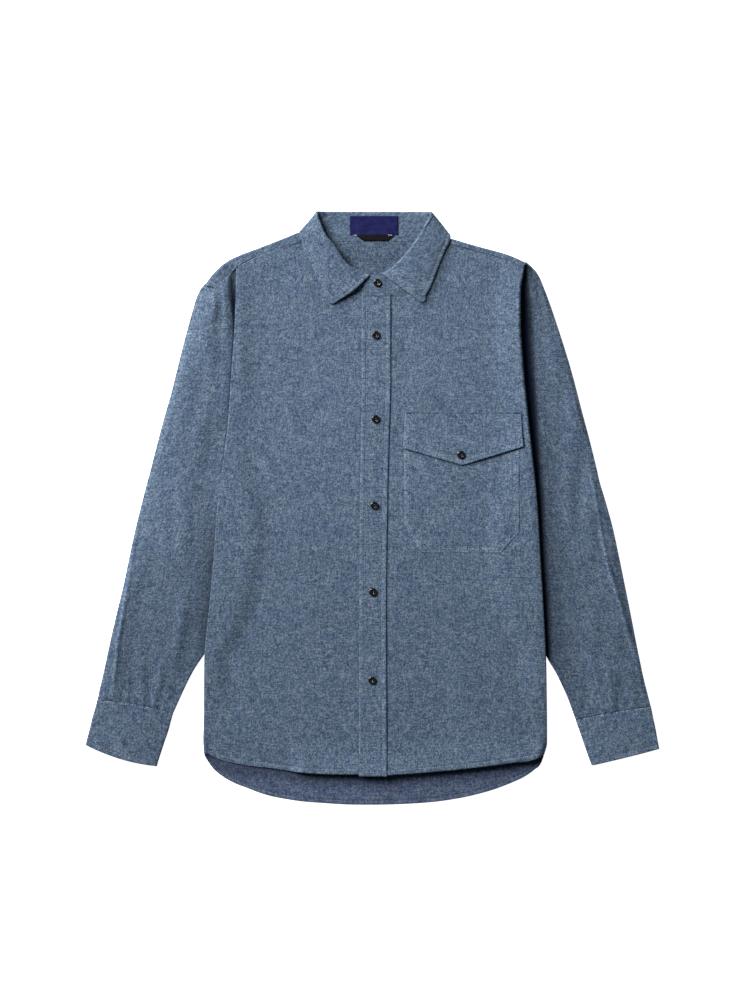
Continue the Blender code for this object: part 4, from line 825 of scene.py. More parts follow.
def leaf_grid(at, down, round_steps):
    _, edge, *roll = collar_section(at)
    gap = np.degrees(STAND_TOP_GAP / np.mean(roll[1]))
    rolled = roll_points(*roll, STAND_TOP_TURN + gap, 180, round_steps)
    share = np.linspace(0, 1, down)[None, 1:, None]
    across = roll[-1][:, None]
    swell = across * np.maximum(across[..., 2:], 0)
    falling = (blend(rolled[:, -1:], edge[:, None], share)
               + swell * LEAF_SWELL * 4 * share * (1 - share))
    return np.concatenate([rolled, falling], axis=1)


def back_stand_height(y):
    """Middle of the stand's back, which is straight between neck seam and roll."""
    foot, top = stand_grid(np.array([12.0]), 2, 3)[0][:2]
    return foot[2] + (top[2] - foot[2]) * (y - foot[1]) / (top[1] - foot[1])


def collar_leaf():
    """Leaf of the collar; its lower edge beside the stand's end stands off it."""
    at = np.linspace(LEAF_FIRST, LEAF_LAST, 260)
    grid = leaf_grid(at, 34, 12)
    across, along = run_lengths(grid, 1), run_lengths(grid)
    ends = np.minimum(along, along[-1:] - along)
    d = np.minimum(across[:, -1:] - across, ends)
    relief, wear_and_shade = hemmed(d, along + across, 4.6, 0.3, 0.45, 0.08, 6.5, 51)
    soft = waves(grid[..., 0], grid[..., 1], 52, 18, 45, 0.14)
    share, station = across / across[:, -1:], at[:, None]
    first_end = bell(station - LEAF_FIRST, 1.2)
    soft = soft + 1.7 * first_end * bell(share - 0.42, 0.22)
    bow = 2.4 * first_end * np.sin(np.pi * share) ** 2
    grid = grid + stacked(0.6 * bow, -0.8 * bow, 0 * bow)
    off_roll = ease(across / 10.0 - 0.5)
    grid = raised(grid, off_roll * (relief + soft) + (1 - off_roll) * soft * 0.5)
    # A little lighter along the roll line; the right-hand leaf, which slopes away from the
    # light, is painted lighter, a painted highlight.
    wear_and_shade = wear_and_shade * off_roll + 0.1 * bell(across - 3.0, 2.5)
    wear_and_shade = wear_and_shade + 0.42 * ease((station - 14.5) / 1.5) * ease(across / 6.0)
    shell("collar_leaf_cloth", grid, cloth_front, 1, STIFF, stacked(across, along), wear_and_shade)


def collar_stand():
    """Stand of the collar; the placket's stitch lines run on over its end."""
    grid = stand_grid(np.linspace(0, len(COLLAR) - 1, 260), 16, 6)
    across, along = run_lengths(grid, 1), run_lengths(grid)
    ends = np.minimum(along, along[-1:] - along)
    relief, wear_and_shade = hemmed(ends, along, 2.4, 0.15, 0.3, 0.06, 6.0, 55)
    x, y = grid[..., 0], grid[..., 1]
    end_part = ease((along / along[-1:] - 0.8) / 0.05) * ease((325 - y) / 6)
    lines = sum(bell(x - place, 0.9) for place in STAND_LINES) * end_part
    grid = raised(grid, relief * 0.7 - 0.35 * lines, -1)
    # Painted shade in the stitch lines over the stand's end and along the placket's dark right
    # edge.
    wear_and_shade = wear_and_shade - 0.8 * lines - 1.4 * end_part * bell(x - PLACKET_SHADE, 0.9)
    shell("collar_stand_cloth", grid, cloth_front, -1, 1.1, stacked(along, across), wear_and_shade)


def neck_label():
    """Woven label on the back of the stand, its lower edge a little lifted."""
    across, up = np.linspace(0, 1, 56)[:, None], np.linspace(0, 1, 24)[None, :]
    x = blend(LABEL["left"], LABEL["right"], across) + 0 * up
    y = blend(LABEL["foot"], LABEL["top"], up) + 0 * across
    proud = WALL / 2 + SEAM + 0.2 + waves(x, y, 61, 18, 50, 0.12)
    proud = proud + 0.5 * bell(up, 0.12) * np.sin(np.pi * across) ** 2
    shell("neck_label", stacked(x, y, back_stand_height(y) + proud), label_satin, 1, 0.5)


def label_tab():
    """Folded tape below the label: down the front, round the foot and up behind."""
    run = np.linspace(0, 2, 19)[None, :]
    down = 1 - np.abs(1 - run)
    x = blend(blend(TAB["top_left"], TAB["foot_left"], down),
              blend(TAB["top_right"], TAB["foot_right"], down), np.linspace(0, 1, 30)[:, None])
    y = blend(TAB["top"], TAB["foot"], down) + 0 * x
    proud = WALL / 2 + SEAM + TAB["wall"] / 2 + 0.28 * np.cos(np.pi * ease(run - 0.5))
    shell("label_tab_tape", stacked(x, y, back_stand_height(y) + proud), tape_woven, -1, 0.3)


# ---------------------------------------------------------------- sleeves and cuffs

def sleeve_grid(table, rows, front_steps, back_steps, bow, top_drop=None):
    """Flattened tube, open along the inner side where it meets the body.

    Columns run from the end of the inner fold over the front layer, round the outer
    fold and back along the layer on the surface.
    """
    c = columns(table, SLEEVE_COLUMNS, np.linspace(0, len(table) - 1, rows))
    outer, inner, under = (stacked(c[place + "x"], c[place + "y"]) for place in "ofb")
    z_in, z_mid, z_out, low, climb, closed = (c[name][:, None] for name in SLEEVE_COLUMNS[6:])
    across = unit(outer - inner)
    r_in, r_out = (z_in - FLOOR_MID) / 2, (z_out - FLOOR_MID) / 2
    outer = outer - across * WALL / 2
    # Inner fold: a strip that is straight where the sleeve is open, and turns down and
    # back under the front layer where it is closed.
    full_turn = np.radians(INNER_TURN)
    strip = r_in * full_turn
    start = inner + across * (strip * (1 - closed) + (r_in + WALL / 2) * closed)
    bend = full_turn * np.maximum(closed, 1e-3)
    turn = bend * np.linspace(1, 0, FOLD_STEPS)[None, :-1]
    run = strip / bend
    fold = start[:, None] - across[:, None] * (run * np.sin(turn))[..., None]
    fold_z = z_in - run * (1 - np.cos(turn))
    # Front layer.
    share = np.linspace(0, 1, front_steps)[None, :]
    crest = outer - across * r_out
    front_layer = blend(start[:, None], crest[:, None], share[..., None])
    length = np.linalg.norm(crest - start, axis=-1)[:, None]
    beside = length * share
    front_z = (z_in + (z_mid - z_in) * ease((beside - low) / climb)
               + (z_out - z_mid) * ease((beside - length) / OUTER_EASE + 1))
    # Outer fold.
    turn = np.radians(np.linspace(90, -90, FOLD_STEPS + 1))[None, 1:]
    outer_fold = crest[:, None] + across[:, None] * (r_out * np.cos(turn))[..., None]
    outer_z = FLOOR_MID + r_out * (1 + np.sin(turn))
    # Back layer.
    end = blend(under, fold[:, 0] + across * 1.5 * SEAM, closed)
    share_back = np.linspace(0, 1, back_steps + 1)[None, 1:]
    rear = blend(crest[:, None], end[:, None], share_back[..., None])
    rear_z = np.full(rear.shape[:2], FLOOR_MID)
    plan = np.concatenate([fold, front_layer, outer_fold, rear], axis=1)
    z = np.concatenate([fold_z, front_z, outer_z, rear_z], axis=1)
    grid = np.concatenate([plan, z[..., None]], axis=-1)
    # Bows of the two ends, and the dropped top edge at the shoulder.
    along = np.linspace(0, 1, rows)[:, None]
    out = np.concatenate([np.zeros(FOLD_STEPS - 1), share[0], np.ones(FOLD_STEPS),
                          1 - share_back[0]])[None, :]
    grid[..., 1] += 4 * out * (1 - out) * (bow[0] * (1 - along) ** BOW_POWER
                                           + bow[1] * along ** BOW_POWER)
    if top_drop:
        drop = np.interp(out, top_drop["share"], top_drop["drop"])
        drop[:, FOLD_STEPS - 1 + front_steps:] = 0
        grid[..., 1] += drop * (1 - ease(run_lengths(outer)[:, None] / HEAD_REACH))
    return grid


def left_hollow(x, y, away, fade):
    """Painted light and shade of the left-hand sleeve beside the body: a value to add to the
    colour and a share of light to keep.
    """
    past = read(LEFT_EDGE, "x", y) - x
    clear = np.interp(y, [40, 150, 203, 244, 265, 285, 306], [4, 4, 3.2, 4, 6.5, 10, 14])
    left = np.interp(y, [0, 40, 95, 150, 203, 244, 265, 285, 306, 320],
                     [0.8, 0.75, 0.4, 0.45, 0.2, 0.04, 0.03, 0.03, 0.25, 0.45])
    wide = np.interp(y, [-200, -100], [16, 28])
    deep = np.interp(y, [244, 262, 300], [0.1, 0.42, 0.42])
    light = (hollow(past, deep * clear, clear, left)
             * (1 - 0.45 * (1 - ease(past / wide)) * ease((5 - y) / 60)))
    # Painted highlight near the top and beside the body; painted shade towards the cuff and in a
    # strip beside the first crease.
    return (0.15 * ease((y - 120) / 100) - 0.55 * ease((10 - y) / 180)
            + 0.35 * bell(past - 14, 10) * ease((y - 60) / 40)
            - 0.7 * fade * bell(away - 14.0, 7.0)), light


def right_hollow(x, y, *_):
    """Painted light and shade of the right-hand sleeve, where the body lies higher: darker
    towards the cuff and dark in the hollow beside the body.
    """
    past = x - read(RIGHT_EDGE, "x", y)
    heights = [-250, -200, -110, -43, -16, 39, 94, 150, 265, 285, 306]
    black = np.interp(y, heights, [-1.5, -1, 0, -1, 0, 3, 5, 6.5, 5, 3.5, 1])
    clear = np.interp(y, heights, [9, 11, 15, 13, 13, 15, 18, 19, 24, 22, 15])
    left = np.interp(y, [-60, 60], [0.1, 0.05])
    wide = np.interp(y, [80, 200], [68, 54])
    light = (hollow(past, black, clear, left)
             * (1 - np.interp(y, [-240, -190], [0.45, 0.55]) * (1 - ease(past / wide))))
    return -0.3 * ease((40 - y) / 160), light


def sleeve(name, table, side, drop, bow, creases, seed, beside_body):
    """Sleeve: its front layer swells between the folds and carries the creases."""
    steps, rows = 72, 236
    grid = sleeve_grid(table, rows, steps, 18, (0.0, bow), drop)
    over, crest = slice(FOLD_STEPS - 1, FOLD_STEPS - 1 + steps), FOLD_STEPS - 2 + steps
    layer = grid[:, over]
    x, y = layer[..., 0], layer[..., 1]
    share = np.linspace(0, 1, steps)[None, :]
    along = run_lengths(grid[:, crest:crest + 1])
    to_cuff = along[-1, 0] - along
    c = columns(table, SLEEVE_COLUMNS, np.linspace(0, len(table) - 1, rows))
    low = c["low"][:, None] + 0.6 * c["climb"][:, None]
    open_to = ease((run_lengths(layer, 1) - low) / 26.0)
    ends = ease(along / 40.0) * (0.35 + 0.65 * ease(to_cuff / 60.0))
    swell = SLEEVE_SWELL * 1.9 * share ** 1.2 * (1 - share) ** 0.6 * open_to * ends
    soft = ease(share / 0.06) * ease((1 - share) / 0.06)
    gather = bell(to_cuff, 16.0) * waves(x, y * 0.25, seed, 9, 17, 0.35)
    pull = bell(to_cuff, 3.0) * -0.5
    slow = waves(x, y, seed + 1, 45, 120, 0.5) + waves(x, y * 0.3, seed + 2, 22, 50, 0.25)
    layer[..., 2] = layer[..., 2] + swell + soft * (
        folds(x, y, creases) + gather + pull + open_to * slow)
    across = run_lengths(grid, 1)
    across = across - across[:, crest:crest + 1]
    wear_and_shade = 0.15 * bell(across, 3.0)
    # The first crease has a painted highlight on its ridge and painted shade on both sides.
    away, share = beside_line(x, y, seen(creases[0][0]))
    fade = np.sin(np.pi * np.clip(share, 0.01, 0.99)) ** 0.5
    strip = 0.8 * (1 if side < 0 else ease((-30 - y) / 60))
    wear_and_shade[:, over] += fade * (1.5 * bell(away, 1.6) - strip * bell(away - 4.5, 2.8)
                             - 0.3 * bell(away + 5.0, 3.5))
    # Painted light and shade of the hollow beside the body.
    more, light = beside_body(x, y, away, fade)
    wear_and_shade[:, over] = shaded(wear_and_shade[:, over] + more, light)
    shell(name, grid, cloth_front, side, THIN, stacked(across, along + 0 * across), wear_and_shade)


def cuff(name, table, side, bow, seed, shade):
    """Cuff: interlined band, stitched beside the seam and along its open end."""
    steps = 96
    grid = sleeve_grid(table, 64, steps, 22, bow)
    along, across = run_lengths(grid), run_lengths(grid, 1)
    seam_relief, seam_wear_shade = hemmed(along, across, 2.2, 0.25, 0.4, 0.15, 6.0, seed)
    end_relief, end_wear_shade = hemmed(along[-1:] - along, across, 5.5, 0.2, 0.35, 0.12, 6.5,
                                  seed + 1)
    share = np.zeros(grid.shape[1])
    share[FOLD_STEPS - 1:FOLD_STEPS - 1 + steps] = np.linspace(0, 1, steps)
    swell = CUFF_SWELL * np.sin(np.pi * share[None, :]) ** 0.75
    relief = seam_relief + end_relief + waves(grid[..., 0], grid[..., 1], seed + 2, 20, 60, 0.18)
    grid = raised(grid, relief * 0.8, side)
    grid[..., 2] += swell
    grid[..., 2] = np.maximum(grid[..., 2], STIFF / 2)
    shell(name, grid, cloth_front, side, TURNED, stacked(along, across),
          seam_wear_shade + end_wear_shade - shade)


# ---------------------------------------------------------------- pieces on the front

def placket():
    """Buttonhole band, stitched along both edges: the fronts' surface moved out."""
    y = np.linspace(PLACKET["y"][0], PLACKET["y"][-1] + 4.5, 272)[:, None]
    share = np.linspace(0, 1, 34)[None, :]
    left, right = read(PLACKET, "left", y), read(PLACKET, "right", y)
    x = blend(left, right, share)
    y = y + 0 * x
    left_relief, left_wear_shade = hemmed(x - left, y, 6.2, 0.3, 0.4, 0.14, 7.0, 71)
    right_relief, right_wear_shade = hemmed(right - x, y, 6.2, 0.3, 0.4, 0.14, 7.0, 72)
    foot = y - y[:1]
    foot_relief, foot_wear_shade = hemmed(foot, x, 5.0, 0.2, 0.3, 0.1, 6.0, 73)
    lie = 0.6 + 0.5 * share + 0.08 * waves(y, x, 74, 40, 110, 1.0)
    z = (front_height(x, y) + front_swell(x, y) + lie + left_relief + right_relief
         + foot_relief * bell(foot, 8.0) + bell(foot, 26.0) * HEM_LIFT)
    wear_and_shade = left_wear_shade + right_wear_shade + foot_wear_shade * bell(foot, 8.0)
    # Painted highlight on the band inside its right edge and painted shade right at that edge.
    wear_and_shade += 0.5 * bell(right - x - 3.3, 2.3) - 0.9 * bell(right - x, 0.7)
    shell("placket_cloth", stacked(x, y, z), cloth_front, -1, 1.0,
          wear_and_shade=wear_and_shade - LOW_SHADE * ease((180 - y) / 400))


def patch(point, top, columns_across, rows, line_top, seed, length):
    """Grid in plan of a piece sewn on a front, with the relief of its twin stitch lines, their
    colour of real wear with painted light and shade, and the distance in from its outline."""
    x = np.unique(np.concatenate([point["x"], np.linspace(point["x"][0], point["x"][-1],
                                                          columns_across)]))
    foot = np.interp(x, point["x"], point["y"])[None, :]
    up = np.linspace(0, 1, rows)[:, None]
    y = blend(foot, top, up)
    lean = FLAP_SIDE_LEAN if point is FLAP_POINT else 0.0
    middle = (x[0] + x[-1]) / 2
    x = middle + (x[None, :] - middle) * (1 - up * lean * 2 / (x[-1] - x[0]))
    outline = np.array([(x[-1, 0], line_top), *zip(point["x"], point["y"]),
                        (x[-1, -1], line_top)])
    away, share = beside_line(x, y, outline)
    away, along = np.abs(away), share * length
    near, near_wear_shade = hemmed(away, along, 1.8, 0.1, 0.25, 0.05, 6.0, seed)
    far, far_wear_shade = hemmed(away, along, 8.0, 0.15, 0.35, 0.1, 7.0, seed + 1)
    return x, y, away, near + far, 1.0 * near_wear_shade + 1.8 * far_wear_shade


def pocket():
    """Patch pocket: the front's surface moved out, freer towards its middle."""
    x, y, away, relief, wear_and_shade = patch(POCKET_FOOT, POCKET_TOP, 108, 120, POCKET_TOP + 30, 81,
                                     600)
    z = (front_height(x, y) + front_swell(x, y) + 0.4 + relief
         + 0.4 * ease(away / 25.0) + waves(x, y, 83, 30, 90, 0.15))
    shell("pocket_cloth", stacked(x, y, z), cloth_front, -1, THIN, wear_and_shade=wear_and_shade - 0.12)


def flap():
    """Pointed flap: sewn down along its top, held by its button, its edges standing off."""
    x, y, _, relief, wear_and_shade = patch(FLAP_POINT, FLAP_TOP, 112, 48, FLAP_TOP, 85, 300)
    top_relief = hemmed(FLAP_TOP - y, x, 1.8, 0.2, 0.35, 0.1, 6.0, 87)[0]
    button_x, button_y = BUTTONS[-1][1:3]
    held = bell(np.hypot(x - button_x, y - button_y), 16.0)
    free = ease((FLAP_TOP - y) / 55.0)
    z = (front_height(x, y) + front_swell(x, y) + 1.6 + relief + top_relief
         + free * FLAP_LIFT * (1 - 0.6 * held) + waves(x, y, 88, 30, 80, 0.2) * free
         - 0.9 * bell(x[:, -1:] - x, 9.0) - 0.5 * bell(x - x[:, :1], 9.0))
    # Painted shade along the sewn top edge.
    shell("pocket_flap_cloth", stacked(x, y, z), cloth_front, -1, TURNED,
          wear_and_shade=wear_and_shade - 1.2 * bell(FLAP_TOP - y - 0.8, 1.1))


# ---------------------------------------------------------------- sewing and buttons

def on_surface(name, plan, wall):
    """Points of a plan line on top of a piece, where it faces up: nearest point, carried
    on its slope."""
    points, n = GRIDS[name].reshape(-1, 3), normals(GRIDS[name]).reshape(-1, 3)
    n = n * np.where(n[:, 2:] < 0, -1.0, 1.0)
    box_low, box_high = plan.min(axis=0) - 4, plan.max(axis=0) + 4
    near = np.all((points[:, :2] > box_low) & (points[:, :2] < box_high), axis=1)
    near &= n[:, 2] > 0.25
    points, n = points[near], n[near]
    nearest = np.empty(len(plan), int)
    for part in np.array_split(np.arange(len(plan)), len(plan) // 200 + 1):
        gap = plan[part, None] - points[None, :, :2]
        # Of two layers one above the other the upper is the one that shows.
        nearest[part] = np.argmin(np.sum(gap ** 2, axis=-1) - 1.5 * points[None, :, 2],
                                  axis=1)
    found, way = points[nearest], n[nearest]
    z = (found[:, 2] - np.sum((plan - found[:, :2]) * way[:, :2], axis=1) / way[:, 2]
         + wall / 2)
    return np.concatenate([plan, z[:, None]], axis=1), way


def stitches(places, ways, ups, length, radius):
    """Stitches as slim four-sided rods: rings at -1/2, -1/4, 1/4 and 1/2 of the length,
    the end rings half as thick and sunk into the cloth."""
    along = np.array([-0.5, -0.28, 0.28, 0.5])
    thick = np.array([0.5, 1.0, 1.0, 0.5]) * radius
    sink = np.array([-0.55, 0.15, 0.15, -0.55]) * radius * 1.6
    ways = unit(ways - ups * np.sum(ways * ups, axis=1, keepdims=True))
    sides = np.cross(ways, ups)
    corner = np.radians([45, 135, 225, 315])[:, None]
    centre = (places[:, None] + ways[:, None] * (along * length)[:, None]
              + ups[:, None] * sink[:, None])
    ring = (np.cos(corner) * sides[:, None, None] + np.sin(corner) * ups[:, None, None])
    points = centre[:, :, None] + ring * thick[:, None, None]
    first = np.arange(len(places))[:, None, None] * 16 + np.arange(3)[:, None] * 4
    k = np.arange(4)
    a, b = first + k, first + (k + 1) % 4
    base = np.arange(len(places))[:, None] * 16
    return points.reshape(-1, 3), np.concatenate([
        stacked(a, b, b + 4, a + 4).reshape(-1, 4), base + np.array([[3, 2, 1, 0]]),
        base + np.array([[12, 13, 14, 15]])])


def line_on(name, line, wall, pitch=3.3, length=2.5, radius=0.28):
    """Stitches at a fixed pitch along a plan line laid on a piece."""
    line = np.asarray(line, float)
    run = run_lengths(line)
    at = np.arange(pitch / 2, run[-1], pitch)
    plan, ahead, behind = (stacked(*(np.interp(at + step, run, line[:, k]) for k in (0, 1)))
                           for step in (0.0, 0.4, -0.4))
    places, ups = on_surface(name, plan, wall)
    steps = (np.gradient(places, axis=0) if len(places) > 1
             else np.pad(unit(ahead - behind), ((0, 0), (0, 1))))
    return stitches(places, unit(steps), ups, length, radius)


def sew(name, material, runs):
    """One mesh of every stitch of a kind, on the body."""
    before = np.cumsum([0] + [len(points) for points, _ in runs])
    piece = put(name, np.concatenate([points for points, _ in runs]),
                np.concatenate([faces + first for (_, faces), first in zip(runs, before)]),
                material)
    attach(piece, "root")


def inset_line(name, inset, axis, last=False):
    """Plan line at a distance in from a piece's first or last row (axis 0) or column."""
    lines = GRIDS[name] if axis == 0 else GRIDS[name].swapaxes(0, 1)
    lines = lines[::-1] if last else lines
    run = run_lengths(lines)
    k = np.clip(np.sum(run < inset, axis=0), 1, len(run) - 1)
    j = np.arange(run.shape[1])
    t = (inset - run[k - 1, j]) / np.maximum(run[k, j] - run[k - 1, j], 1e-9)
    return blend(lines[k - 1, j], lines[k, j], t[:, None])[:, :2]


def inside_outline(outline, inset):
    """A corner line moved in by a distance: each corner along its two edges' normals."""
    outline = np.asarray(outline, float)
    way = unit(np.diff(outline, axis=0))
    left = stacked(-way[:, 1], way[:, 0])
    inner = outline[1:-1] + (left[:-1] + left[1:]) * inset / (
        1 + np.sum(left[:-1] * left[1:], axis=1, keepdims=True))
    return np.concatenate([outline[:1] + left[:1] * inset, inner,
                           outline[-1:] + left[-1:] * inset])


def turned_button(name, x, y, floor):
    """Turned button with a sunk boat-shaped middle and two holes.

    Height is a profile of the radius, less 0.4 mm * exp(-((x/1.6)^2 + (y/3)^2)^2) for
    the boat and 0.7 mm * exp(-(r/0.55)^4) for each hole.
    """
    radius = np.concatenate([np.linspace(0.35, 4.6, 13), [4.95, 5.2, 5.38, 5.47]])
    height = through(radius, [0, 3.6, 4.3, 4.8, 5.2, 5.5], [1.95, 2.0, 2.25, 2.25, 2.0, 1.5])
    n = 36
    angle = np.linspace(0, 2 * np.pi, n + 1)[:-1]
    under_r, under_z = np.array([5.5, 5.35, 4.9]), np.array([1.1, 0.6, 0.15])
    rings = np.concatenate([radius, under_r])[:, None]
    across, up = rings * np.cos(angle), rings * np.sin(angle)
    top = len(radius)
    boat = 0.4 * np.exp(-((across[:top] / 1.6) ** 2 + (up[:top] / 3.0) ** 2) ** 2)
    holes = sum(0.7 * np.exp(-(np.hypot(across[:top], up[:top] - place) / 0.55) ** 4)
                for place in (-1.25, 1.25))
    z = np.concatenate([height[:, None] - boat - holes,
                        np.broadcast_to(under_z[:, None], (3, n))])
    points = stacked(x + across, y + up, floor + z).reshape(-1, 3)
    points = np.concatenate([points, [[x, y, floor + 1.55], [x, y, floor + 0.15]]])
    last = (len(rings) - 1) * n
    i, k = np.arange(0, last, n)[:, None], np.arange(n)
    step, pole = (k + 1) % n, 0 * k + last + n
    faces = np.concatenate([stacked(i + k, i + n + k, i + n + step).reshape(-1, 3),
                            stacked(i + k, i + n + step, i + step).reshape(-1, 3),
                            stacked(pole, k, step), stacked(last + step, last + k, pole + 1)])
    return put(name, points, faces, button_black)


# ---------------------------------------------------------------- materials

def linear(code):
    """sRGB hex to linear colour with alpha."""
    value = np.array([int(code[k:k + 2], 16) / 255 for k in (0, 2, 4)])
    value = np.where(value <= 0.04045, value / 12.92, ((value + 0.055) / 1.055) ** 2.4)
    return (*(float(v) for v in value), 1.0)


def feed(made, feeds):
    """Set or link inputs of a node, by name or number."""
    for key, value in feeds.items():
        if isinstance(value, bpy.types.NodeSocket):
            made.id_data.links.new(value, made.inputs[key])
        else:
            made.inputs[key].default_value = value


def node(tree, kind, feeds, **settings):
    """Add a node: settings are its properties, feeds its inputs; gives its outputs."""
    made = tree.nodes.new("ShaderNode" + kind)
    for key, value in settings.items():
        setattr(made, key, value)
    feed(made, feeds)
    return made.outputs


def maths(tree, operation, *values):
    return node(tree, "Math", dict(enumerate(values)), operation=operation)[0]


def pattern(tree, place, size_across, size_along, detail=1.0):
    """Cloudy pattern whose patches measure the given millimetres across and along."""
    scaled = node(tree, "Mapping", {"Vector": place,
                                    "Scale": (1000 / size_across, 1000 / size_along, 1.0)})
    return node(tree, "TexNoise", {"Vector": scaled[0], "Scale": 1.0, "Detail": detail},
                noise_dimensions="2D")["Fac"]


def thread(tree, place, along, turned=False):
    """Even random value for every length of thread, changing every 'along' mm, each
    thread's lengths shifted by a random share of one."""
    parts = node(tree, "SeparateXYZ", {0: place})
    over, run = (parts[1], parts[0]) if turned else (parts[0], parts[1])
    count = maths(tree, "FLOOR", maths(tree, "MULTIPLY", over, 1000 / THREAD))
    shift = node(tree, "TexWhiteNoise", {"W": count}, noise_dimensions="1D")["Value"]
    piece = maths(tree, "FLOOR", maths(tree, "MULTIPLY_ADD", run, 1000 / along, shift))
    both = node(tree, "CombineXYZ", {0: count, 1: piece})[0]
    return node(tree, "TexWhiteNoise", {"Vector": both}, noise_dimensions="2D")["Value"]


def graded(tree, value, low, dark, high, light, middle=None):
    """Colour that runs from dark to light as a value goes from low to high."""
    colour = node(tree, "ValToRGB", {0: value})["Color"]
    stops = colour.node.color_ramp.elements
    stops[0].position, stops[0].color = low, linear(dark)
    stops[1].position, stops[1].color = high, linear(light)
    if middle:
        stops.new(0.5).color = linear(middle)
    return colour


def new_material(name, feeds):
    """A material, its node tree and its shader, with these inputs set."""
    made = bpy.data.materials.new(name)
    made.use_nodes = True
    shader = made.node_tree.nodes["Principled BSDF"]
    feed(shader, feeds)
    return made, made.node_tree, shader


def chambray(name, dark, middle, light, violet, teal):
    """Cotton chambray, plain weave of blue warp and undyed weft, washed: dull, heathered
    with pale and dark flecks that run along the threads, in patches of violet and teal.

    A thread is 0.3 mm, finer than the view shows, so uneven places in the yarn are drawn:
    slubs of warp 1.2 x 9 mm and weft 9 x 1.2 mm, and flecks of 1.2 x 2.1 mm both ways.
    """
    made, tree, shader = new_material(name, {
        "Roughness": 0.88, "Sheen Weight": 0.1, "Sheen Roughness": 0.5,
        "Sheen Tint": linear("8fa3c4"), "Specular IOR Level": 0.2,
        "Specular Tint": linear("a9bbdc")})
    place = node(tree, "UVMap", {}, uv_map="grain")["UV"]
    total = 0.0
    for value, weight in ((thread(tree, place, SLUB), WEAVE["warp"]),
                          (thread(tree, place, SLUB, True), WEAVE["weft"]),
                          (thread(tree, place, FLECK), WEAVE["end"]),
                          (thread(tree, place, FLECK, True), WEAVE["pick"]),
                          (pattern(tree, place, 9.0, 14.0, 1.5), WEAVE["cloud"])):
        total = maths(tree, "MULTIPLY_ADD", value, weight, total)
    heather = graded(tree, total, 0.22, dark, 0.78, light, middle)
    tint = graded(tree, pattern(tree, place, 14.0, 17.0, 1.5), 0.38, violet, 0.62, teal)
    tinted = node(tree, "Mix", {0: 0.4, 6: heather, 7: tint}, data_type="RGBA",
                  blend_type="SOFT_LIGHT")[2]
    # The colour is scaled by a value at every point that holds real wear together with painted
    # light and shade: painted shade in hollows, grooves and under edges, painted highlights on
    # ridges and rolled edges.
    wear_shade_attr = node(tree, "Attribute", {}, attribute_name="wear_and_shade")["Fac"]
    gain = maths(tree, "MULTIPLY_ADD", wear_shade_attr, WEAR_SHADE_GAIN, 1.0)
    painted_tone = node(tree, "VectorMath", {0: tinted, "Scale": gain}, operation="SCALE")[0]
    # Cloth deep in a hollow is seen by light off other cloth, so it turns navy, not black.
    navy = node(tree, "VectorMath", {0: painted_tone, 1: linear("080f22")[:3]}, operation="MAXIMUM")
    bump = node(tree, "Bump", {"Strength": 0.5, "Distance": 0.0002,
                               "Height": pattern(tree, place, 1.7, 1.7)})
    feed(shader, {"Base Color": navy[0], "Normal": bump["Normal"]})
    return made


def woven_tape(name, ground, thread_colour):
    """Polyester label weave: fine satin ribs along the label, drawn at 0.9 mm."""
    made, tree, shader = new_material(name, {"Roughness": 0.7, "Specular IOR Level": 0.12})
    place = node(tree, "UVMap", {}, uv_map="grain")["UV"]
    rib = pattern(tree, place, 6.0, 0.9)
    both = maths(tree, "MULTIPLY", rib, pattern(tree, place, 9.0, 7.0, 2.0))
    bump = node(tree, "Bump", {"Strength": 0.4, "Distance": 0.0004, "Height": rib})
    feed(shader, {"Base Color": graded(tree, both, 0.15, ground, 0.36, thread_colour),
                  "Normal": bump["Normal"]})
    return made


def spun_thread(name, dark, light):
    """Spun polyester sewing thread, dull, its colour a little uneven along the seam."""
    made, tree, shader = new_material(name, {"Roughness": 0.7, "Sheen Weight": 0.2})
    uneven = node(tree, "TexNoise", {"Vector": node(tree, "TexCoord", {})["Object"],
                                     "Scale": 260.0, "Detail": 1.0})["Fac"]
    feed(shader, {"Base Color": graded(tree, uneven, 0.35, dark, 0.65, light)})
    return made


def cast_polyester(name, dark, light):
    """Cast polyester button, turned and polished: deep black with faint grey streaks."""
    made, tree, shader = new_material(name, {"Roughness": 0.16, "Coat Weight": 0.6,
                                             "Coat Roughness": 0.08})
    place = node(tree, "Mapping", {"Vector": node(tree, "TexCoord", {})["Object"],
                                   "Scale": (900, 260, 400)})[0]
    streak = node(tree, "TexNoise", {"Vector": place, "Scale": 1.0, "Detail": 2.0})["Fac"]
    feed(shader, {"Base Color": graded(tree, streak, 0.4, dark, 0.75, light)})
    return made


def seamless_paper():
    """White seamless paper, lit from below a little so that it stays white."""
    return new_material("seamless paper", {
        "Roughness": 0.9, "Base Color": linear("f6f6f6"), "Specular IOR Level": 0.0,
        "Emission Color": (1.0, 1.0, 1.0, 1.0), "Emission Strength": FLOOR_GLOW})[0]


cloth_front = chambray("washed chambray", "2f3e52", "4e5e71", "75808b", "767a90", "768486")
cloth_inside = chambray("washed chambray reverse", "2b364b", "455166", "676f7e", "717094",
                        "6f7c80")
label_satin = woven_tape("woven satin label", "0c0e36", "16184d")
tape_woven = woven_tape("woven black tape", "050506", "0b0b0d")
thread_blue = spun_thread("tonal sewing thread", "66798f", "97a6b6")
thread_white = spun_thread("white sewing thread", "c9cdd0", "eceeee")
thread_dark = spun_thread("dark sewing thread", "23293a", "3c465a")
button_black = cast_polyester("black polyester button", "060607", "1b1a1c")

# ---------------------------------------------------------------- the pieces

